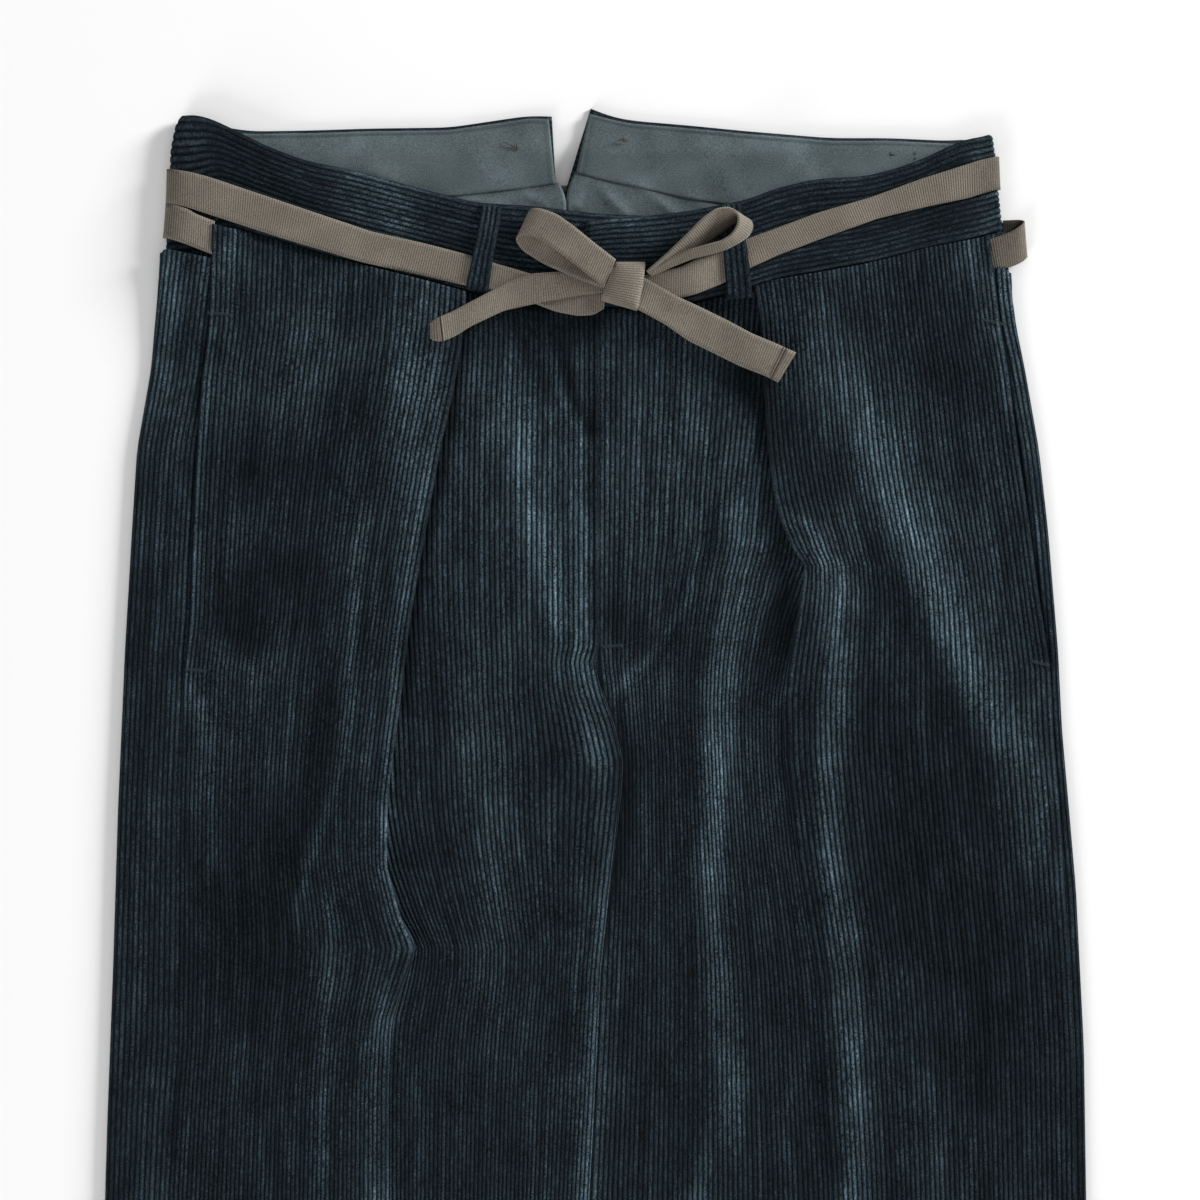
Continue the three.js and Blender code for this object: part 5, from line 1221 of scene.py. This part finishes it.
# each station holds x, y and z of both edges
# dim paints shade where a tape turns down round the side of the band; shade paints shade on the end of a tape
# that lies inside the standing loop; tone darkens a whole tape
tapes = {
    "tape_run_right": {"rests": ["waistband_right"], "dim": (20, -0.6), "stations": [
        *roundSide((-212.5, 484.5), (-213, 467.5), (0.17, 0.26), -1, onBand),
        *level(onBand, (-193, 480.3, -193, 461.6), (-154.8, 467.5, -158.2, 450.2), (-111.8, 453, -117, 437.8),
               (-85, 447, -89, 431.6), (-63.8, 441.5, -66.2, 426.3), (-51.2, 437.5, -53.2, 423.5),
               (-31.8, 431.8, -32.8, 418), (-20, 427.5, -20, 413)),
        (-8.5, 424.5, onLap, -9, 410.8, onLap), (-1, 423, onLap, -1, 411.2, onLap + 0.1),
        (5.2, 422.4, onLap + 0.2, 4.4, 414.6, onLap + 0.4)]},
    "tape_stub_right": {"rests": ["waistband_right"], "dim": (20, -0.6), "stations": [
        *roundSide((-213, 467.4), (-214.4, 450), (0.33, 0.33), -1, onBand),
        *level(onBand, (-200, 462, -200.6, 445.2)), *level(onBand - 0.6, (-190.2, 458.2, -191.6, 441.7))]},
    "tape_run_left": {"rests": ["waistband_left"], "dim": (25, -1.1), "stations": [
        *roundSide((199.9, 490.7), (200.6, 474.2), (0.26, 0.3), 1, onBand),
        *level(onBand, (187, 487, 187.4, 470), (163.2, 479.5, 166, 465.6), (137.2, 470, 141, 459.5),
               (111.2, 462.5, 117, 451), (85.8, 453, 92, 441.6), (73.5, 448.6, 76.8, 434.6)),
        *level(onBand + 0.5, (62, 444, 63.2, 426.9)),
        *level(onLap, (51, 439.5, 50, 421.6), (42.2, 435, 42, 419.6), (24, 431, 22, 417.5))]},
    "tape_loop_left": {"rests": ["back_panel_left"], "shade": (19, -2.2, 1), "tone": -0.45, "stations": [
        (194.5, 448.4, slitLevel - 0.6, 198, 434, slitLevel - 0.8),
        (200.5, 450.4, slitLevel, 203, 434.4, slitLevel),
        (207, 452.8, slitLevel + 0.6, 208.6, 435.8, slitLevel),
        (211.6, 455.4, slitLevel + 0.6, 213.4, 438, slitLevel - 0.4),
        (214, 457.4, slitLevel - 0.8, 215.6, 440.2, slitLevel - 1.6), (214.8, 458.6, 2.9, 216.2, 441.2, 2.4),
        (214.2, 459.2, 1.7, 215.4, 441.4, 1.5), (211, 459.3, 1.1, 211.6, 441.6, 1),
        (204, 459, 1, 204, 441.6, 0.9)]},
    "tape_back_lower": {"rests": ["floor"], "stations": level(
        floorTape, (-213.4, 466.6, -213.4, 450), (-120, 471.4, -120, 456), (100, 482, 100, 466.6),
        (201, 490.2, 201, 473.6))},
    "tape_back_upper": {"rests": ["tape_back_lower"], "shade": (24, -1.5, 0), "stations": [
        *level(floorTape, (-213.2, 484.4, -213.2, 467.8)),
        *level(crossedTape, (-196, 483, -196, 467.6), (-120, 477, -120, 461.6), (40, 464, 40, 448.6)),
        *level(floorTape, (58, 462.4, 58, 447), (140, 458.6, 140, 443), (212.6, 457.8, 212.6, 441))]},
    "bow_tail_right": {"rests": ["tape_run_right"], "hem": 6.5, "stations": [
        (6, 427.5, onLap + 1.5, 6, 422.6, onLap + 1.5), (-5, 431, onLap + 1.5, -4.6, 421.4, onLap + 1.5),
        (-16.2, 433, onTape + 1.2, -13, 420, onTape + 1.5),
        (-31.8, 432, onTape + 0.1, -31.8, 416.5, onTape + 0.1),
        (-43.2, 428, onTape + 0.1, -45.8, 413.4, onTape + 0.1),
        (-62.2, 418, onTape + 1.2, -62.2, 405.6, onTape + 1),
        (-71.4, 413, onTape + 1.5, -70, 400.6, onTape + 1.3),
        (-77.6, 410.4, onTape + 2.2, -76, 398, onTape + 2.4),
        (-80.6, 408.8, onTape + 1.8, -80.4, 397.8, onTape + 2.2),
        (-81.6, 407.4, onTape + 0.6, -81.8, 399.6, onTape + 0.8)]},
    "bow_loop_right": {"rests": ["waistband_right"], "stations": [
        (10.2, 438.8, knotTop - 1.5, 4.6, 424.8, knotTop - 1.5),
        (-0.8, 447.3, knotTop - 0.7, -7, 433.5, knotTop - 0.8),
        (-11, 455.6, knotTop - 0.6, -17.4, 441.8, knotTop - 0.8),
        (-19, 461.3, knotTop - 1, -25.8, 448, knotTop - 1.2),
        (-26, 464, knotTop - 2, -33.2, 451, knotTop - 2.2),
        (-30.6, 464.6, knotTop - 3.4, -38, 450.9, knotTop - 3.6),
        (-33.4, 463.2, knotTop - 5, -39.6, 449.4, knotTop - 5.2),
        (-32.6, 460.6, onBand + 0.9, -39, 446.6, onBand + 0.8),
        (-29.6, 457.8, onBand + 0.3, -35.8, 443, onBand + 0.2),
        (-19, 450.8, onBand + 0.2, -26, 436.8, onBand + 0.2),
        (-10.6, 446.3, onBand + 0.8, -17.6, 433, onTape + 1.6),
        (0, 441.7, onLap + 1.4, -7.1, 428.4, onLap + 2.5),
        (9.6, 437.6, onLap + 2.7, 4.2, 424.3, onLap + 2.9)]},
    "bow_loop_left": {"rests": ["waistband_left"], "stations": [
        (25.4, 432.8, knotTop - 1.2, 26.6, 431.6, onLap + 2.6),
        (36.2, 442.2, knotTop + 1.6, 41.2, 438.6, onLap + 2.2),
        (46.2, 451.6, knotTop + 5, 51.4, 444.5, onLap + 1.6),
        (53.4, 458.9, knotTop + 6.6, 60.6, 450.8, onTape + 2.2),
        (59.6, 463.2, knotTop + 7, 68.6, 456.8, onTape + 2.1),
        (65.6, 464.3, knotTop + 7, 74, 459.8, onTape + 2.1),
        (70, 462.4, knotTop + 7, 77.6, 458.4, onTape + 2.1),
        (71.4, 459, knotTop + 7, 78.6, 455, onTape + 2.1),
        (70.6, 454.8, knotTop + 7, 76.6, 451, onTape + 2.1),
        (67.4, 450.4, knotTop + 6.8, 71.6, 447.4, onTape + 2.1),
        (62.4, 447.2, knotTop + 6.4, 64.6, 443.8, onTape + 2.1),
        (55.6, 445.6, knotTop + 5.6, 56.6, 441.6, onLap + 1.6),
        (46.4, 443, knotTop + 3.6, 47.8, 439.4, onLap + 1.8),
        (36.5, 438.6, knotTop + 0.6, 37.2, 435, onLap + 2),
        (27, 432.4, knotTop - 2.4, 27.4, 430.4, onLap + 1.8)]},
    "bow_tail_left": {"rests": ["front_panel_left"], "hem": 6, "stations": [
        (23.4, 430.4, onLap + 1.4, 18.4, 415.4, onLap + 1.4),
        (39.8, 421, onLap + 1.4, 34.8, 406.5, onLap + 0.6),
        (52.8, 415, onLap + 0.2, 46.2, 398.5, onLap - 1.6),
        (65.2, 409, onBand + 1.3, 60, 391.8, onBand - 0.4),
        (78.2, 402, onBand + 2.4, 72.4, 385.6, onBand + 1),
        (90.8, 396.8, onBand + 2.9, 84.2, 381, onBand + 2.2),
        (100.2, 392.5, onBand + 2.4, 91.2, 377.5, onBand + 1.8)]},
    "bow_knot": {"rests": ["tape_run_left"], "crown": 1.1, "ribs": 0.5, "stations": [
        (9.6, 437.4, onLap - 0.2, 24.6, 437.4, onLap - 0.2),
        (9.3, 436.8, onLap + 2.4, 24.8, 436.6, onLap + 2.4),
        (8.6, 434.4, knotTop - 0.8, 24.4, 433.8, knotTop - 0.8), (7.0, 429.4, knotTop, 23.8, 427.6, knotTop),
        (4.8, 423.8, knotTop - 0.2, 22.4, 420.4, knotTop - 0.2),
        (3.4, 420, knotTop - 1.2, 21.2, 415.4, knotTop - 1.4),
        (3.0, 418.8, onLap + 1.5, 20.8, 413.8, onLap + 1.5),
        (3.1, 418.6, onLap - 0.2, 20.8, 413.6, onLap - 0.2)]},
}
for name, spec in tapes.items():
    buildTape(name.replace("tape_", "tie_").replace("bow_", "bow"), name, spec)
print("tapes made")

# belt loops

loopHigh = onTape + 0.5
beltLoops = {
    "wales": 4, "length": 47, "width": 11.5, "up": 0.35, "wale": 0.34, "down": 0.45,
    "station": 0.8, "rounds": 8, "roll": 0.25, "endDip": 0.5, "endWidth": 1.5,
    "right": [
        (-51.7, 465.8, 5, 8.22), (-52.6, 459, 5, 8.62), (-54.6, 448, 5, loopHigh), (-56, 442, 5.1, loopHigh),
        (-58, 430, 5.4, loopHigh), (-58.8, 426, 5.7, loopHigh), (-59.2, 423.6, 5.8, loopHigh - 0.4)],
    "left": [
        (67.5, 466.4, 5.2, 8.62), (68, 460, 5.4, loopHigh - 0.3), (69, 451, 5.6, loopHigh),
        (70, 442, 6, loopHigh), (71, 432, 6.2, loopHigh), (71.6, 425, 6.3, loopHigh),
        (71.9, 419.6, 6.4, loopHigh - 0.2)],
}

def buildBeltLoop(side):
    # a strip on both sides of its middle line, given by x, y, half-width and height, that dips at its sewn
    # ends
    spec = beltLoops
    line = smoothLine(spec[side], spec["station"], spec["rounds"])
    along = line[-1, :2] - line[0, :2]
    along = along / np.linalg.norm(along)
    across = waleColumns(0, spec["wales"])
    share = (across / spec["wales"] * 2 - 1)[None]
    x = line[:, 0:1] - along[1] * line[:, 2:3] * share
    y = line[:, 1:2] + along[0] * line[:, 2:3] * share
    end = np.linspace(0, 1, len(line))[:, None] * spec["length"]
    ends = bell(end, spec["endWidth"]) + bell(spec["length"] - end, spec["endWidth"])
    z = line[:, 3:4] - spec["roll"] * share ** 6 - spec["endDip"] * ends
    uv = gridPair(across + 900, end / levels["walePitch"], x.shape)
    up = spec["up"] + spec["wale"] * waleProfile(across)[None]
    piece, outer = shell(f"loop_{side}", np.stack([x, y, z], axis=-1), uv, up, spec["down"], facing=-1)
    finishPiece(piece, corduroy, (f"belt_loop_{side}",))
    return outer

loopTops = {side: buildBeltLoop(side) for side in sides}
print("belt loops made")

# sewing

sewing = {
    # from one stitch to the next, and a stitch's length
    "panel": (2.5, 1.9), "band": (2.4, 1.7), "loop": (2.2, 1.6),
    "radius": 0.16, "tackRadius": 0.17, "tackHalf": 0.9, "tackStep": 0.5, "tackLift": 0.1, "sunk": 0.05,
    "bandInset": (0, -0.6, 0.02), "loopInset": (0, 0, 0.05), "loopEdges": (2, -3),
    "strandRadius": 0.28, "strandLift": 0.45, "markRadius": 0.16, "markLift": 0.42,
    "rings": 5, "corners": 6, "thinEnd": 0.35, "bow": 0.6,
}
# topstitched lines of the front panels: the pocket slits, the corners above them and the fly's curve
panelSeams = {
    "right": [
        [(-186.5, 409), (-190.5, 383), (-193.4, 346), (-195, 302), (-196.5, 258), (-197.5, 239)],
        [(-179.8, 444), (-179.8, 413)]],
    "left": [
        [(196, 404), (200.4, 382), (205.2, 344), (210, 313), (215, 275), (219, 244)],
        [(191.5, 446), (193.5, 410)],
        [(37.8, 416), (37.8, 289), (34.5, 269.5), (30.8, 258), (24, 250), (14, 246.2), (5, 245.6)]],
}
# both ends of the pocket slits, and the end of the fly opening
bartacks = {
    "right": [((-193.5, 412.6), (-182.5, 411.6)), ((-205, 234.4), (-194.6, 233.4))],
    "left": [((193, 409.4), (204, 407)), ((218, 238.4), (227, 236.2)), ((3.5, 245.6), (13.5, 246.4))],
}

def stitchBars(name, stitches, radius, material):
    # small bars, each a ring of six points carried from its start to its end, thinned to both ends by the
    # root of 1 - t squared and bowed up by 1 - t squared, with t from -1 to 1
    starts, ends = (np.concatenate(group) for group in zip(*stitches))
    rings, corners = sewing["rings"], sewing["corners"]
    along = np.linspace(-1, 1, rings)
    thin = sewing["thinEnd"] + (1 - sewing["thinEnd"]) * np.sqrt(1 - along ** 2)
    angle = np.arange(corners) * 2 * math.pi / corners
    axis = ends - starts
    axis /= np.linalg.norm(axis, axis=1, keepdims=True)
    sideways = np.cross(axis, [0, 0, 1])
    sideways /= np.linalg.norm(sideways, axis=1, keepdims=True)
    over = np.cross(sideways, axis)
    centre = mix(starts[:, None], ends[:, None], ((along + 1) / 2)[None, :, None])
    centre[..., 2] += sewing["bow"] * radius * (1 - along ** 2)
    cosine, sine = (wave(angle)[None, None, :, None] for wave in (np.cos, np.sin))
    ring = sideways[:, None, None] * cosine + over[:, None, None] * sine
    points = centre[:, :, None] + ring * (radius * thin)[None, :, None, None]
    index = np.arange(len(starts) * rings * corners).reshape(-1, rings, corners)
    turned = np.roll(index, -1, axis=2)
    quads = np.stack([index[:, :-1], turned[:, :-1], turned[:, 1:], index[:, 1:]], axis=-1).reshape(-1, 4)
    caps = np.concatenate([index[:, 0, ::-1], index[:, -1]])
    piece = makeMesh(name, points.reshape(-1, 3), [quads, caps])
    finishPiece(piece, material)

def alongPath(path, pitch, length):
    # the start and end of each stitch along a line of points
    path = np.asarray(path, dtype=float)
    reach = distances(path)
    at = np.arange(0, reach[-1] - length, pitch)
    return columnsAt(at, reach, path), columnsAt(at + length, reach, path)

def acrossPath(start, end, half, spacing):
    # crossing stitches of a bartack, closely side by side
    start, end = np.array(start, float), np.array(end, float)
    long = np.linalg.norm(end - start)
    along = (end - start) / long
    sideways = np.array([-along[1], along[0]])
    at = np.linspace(0, 1, int(long / spacing) + 1)[:, None]
    lean = spacing / 2 * along
    middle = mix(start, end, at)
    return middle - half * sideways - lean, middle + half * sideways + lean

def onFront(side, places, lift=0.0):
    # places on the front panels get the height of the pile there
    x, y = places[:, 0], places[:, 1]
    z = layHeight(x, y) + layRidges(fineRidges, x, y) + clothWall["up"] + clothWall["wale"] - sewing["sunk"]
    if side == "left":
        z += flyRise(x, y)
    return np.column_stack([x, y, z + lift])

tonal, heavy = [], []
for side, lines in panelSeams.items():
    for line in lines:
        tonal.append([onFront(side, places) for places in alongPath(line, *sewing["panel"])])
for side, tacks in bartacks.items():
    for start, end in tacks:
        tack = acrossPath(start, end, sewing["tackHalf"], sewing["tackStep"])
        heavy.append([onFront(side, places, sewing["tackLift"]) for places in tack])
for side in sides:
    # along the top of the waistband, a wale below its edge, and down both edges of the belt loops
    top = bandTops[side][:, 4:6].mean(axis=1) + sewing["bandInset"]
    tonal.append(alongPath(top, *sewing["band"]))
    for column in sewing["loopEdges"]:
        tonal.append(alongPath(loopTops[side][2:-2, column] + sewing["loopInset"], *sewing["loop"]))
stitchBars("topstitching", tonal, sewing["radius"], navyThread)
stitchBars("bartacks", heavy, sewing["tackRadius"], paleThread)

# both ends of each strand of thread left on the facings, and of each small dark mark beside the side
buttonThreads = [
    ((12.2, 499.4), (16.6, 498.8)), ((12.6, 498.6), (16.2, 498)), ((13.6, 501), (14.2, 498.2)),
    ((11, 498.9), (13, 498.5)), ((-43.5, 496.8), (-38.8, 495)), ((-42.2, 496), (-38.2, 494.6)),
    ((-39.6, 497.6), (-39, 493.4)), ((-40.6, 494), (-38, 495.4)), ((-45.6, 498), (-42.6, 496.4)),
]
darkMarks = [
    ((147.5, 492), (150, 491.2)), ((147.6, 493.4), (147.7, 490.8)),
    ((159.8, 493.2), (159.8, 491.4)), ((159.8, 490.4), (159.8, 488.8)),
]

def onFacing(strands, height):
    # the starts and the ends of strands, laid on the facing at this height
    ends = np.array(strands, dtype=float)
    return [np.column_stack([ends[:, k], np.full(len(ends), height)]) for k in range(2)]

strands = onFacing(buttonThreads, levels["facing"] + sewing["strandLift"])
stitchBars("buttonThreads", [strands], sewing["strandRadius"], brownThread)
marks = onFacing(darkMarks, levels["facing"] + sewing["markLift"])
stitchBars("facingMarks", [marks], sewing["markRadius"], navyThread)
print("sewing made")

# stage

stageLook = {
    "floorReach": 20000, "floorTone": 0.93, "floorRoughness": 0.9, "sky": 0.43,
    "lens": 180, "sensor": 36, "camera": (0.00225, 0.269, 3.005), "lit": (0.0, 0.27, 0.0),
    "key": {"power": 500.0, "size": 1.5, "from": (4.3, 2.5, 1.3)},
    "fill": {"power": 170.0, "size": 2.0, "from": (-2.5, -4.2, 1.4)},
}
floorPoints = np.array([[-1, -1, 0], [1, -1, 0], [1, 1, 0], [-1, 1, 0]]) * stageLook["floorReach"]
floorPlane = makeMesh("paleFloor", floorPoints, [np.array([[0, 1, 2, 3]])], smooth=False)
floorMaterial = bpy.data.materials.new("pale floor")
floorMaterial.use_nodes = True
floorShader = floorMaterial.node_tree.nodes["Principled BSDF"].inputs
floorShader["Base Color"].default_value = (*[stageLook["floorTone"]] * 3, 1)
floorShader["Roughness"].default_value = stageLook["floorRoughness"]
floorPlane.data.materials.append(floorMaterial)

world = bpy.data.worlds.new("soft room")
world.use_nodes = True
world.node_tree.nodes["Background"].inputs["Color"].default_value = (1, 1, 1, 1)
world.node_tree.nodes["Background"].inputs["Strength"].default_value = stageLook["sky"]
bpy.context.scene.world = world

def softLight(name, spec):
    # a square light that faces the waist, set off from it by from, in metres
    light = bpy.data.lights.new(name, "AREA")
    light.energy = spec["power"]
    light.size = spec["size"]
    lamp = bpy.data.objects.new(name, light)
    lamp.location = np.array(stageLook["lit"]) + np.array(spec["from"])
    lamp.rotation_euler = Vector(spec["from"]).to_track_quat("Z", "Y").to_euler()
    bpy.context.scene.collection.objects.link(lamp)

softLight("soft key", stageLook["key"])
softLight("soft fill", stageLook["fill"])

cameraData = bpy.data.cameras.new("from above")
cameraData.lens = stageLook["lens"]
cameraData.sensor_width = stageLook["sensor"]
camera = bpy.data.objects.new("from above", cameraData)
camera.location = stageLook["camera"]
bpy.context.scene.collection.objects.link(camera)
bpy.context.scene.camera = camera
bpy.context.scene.view_settings.view_transform = "Standard"
print("stage set")
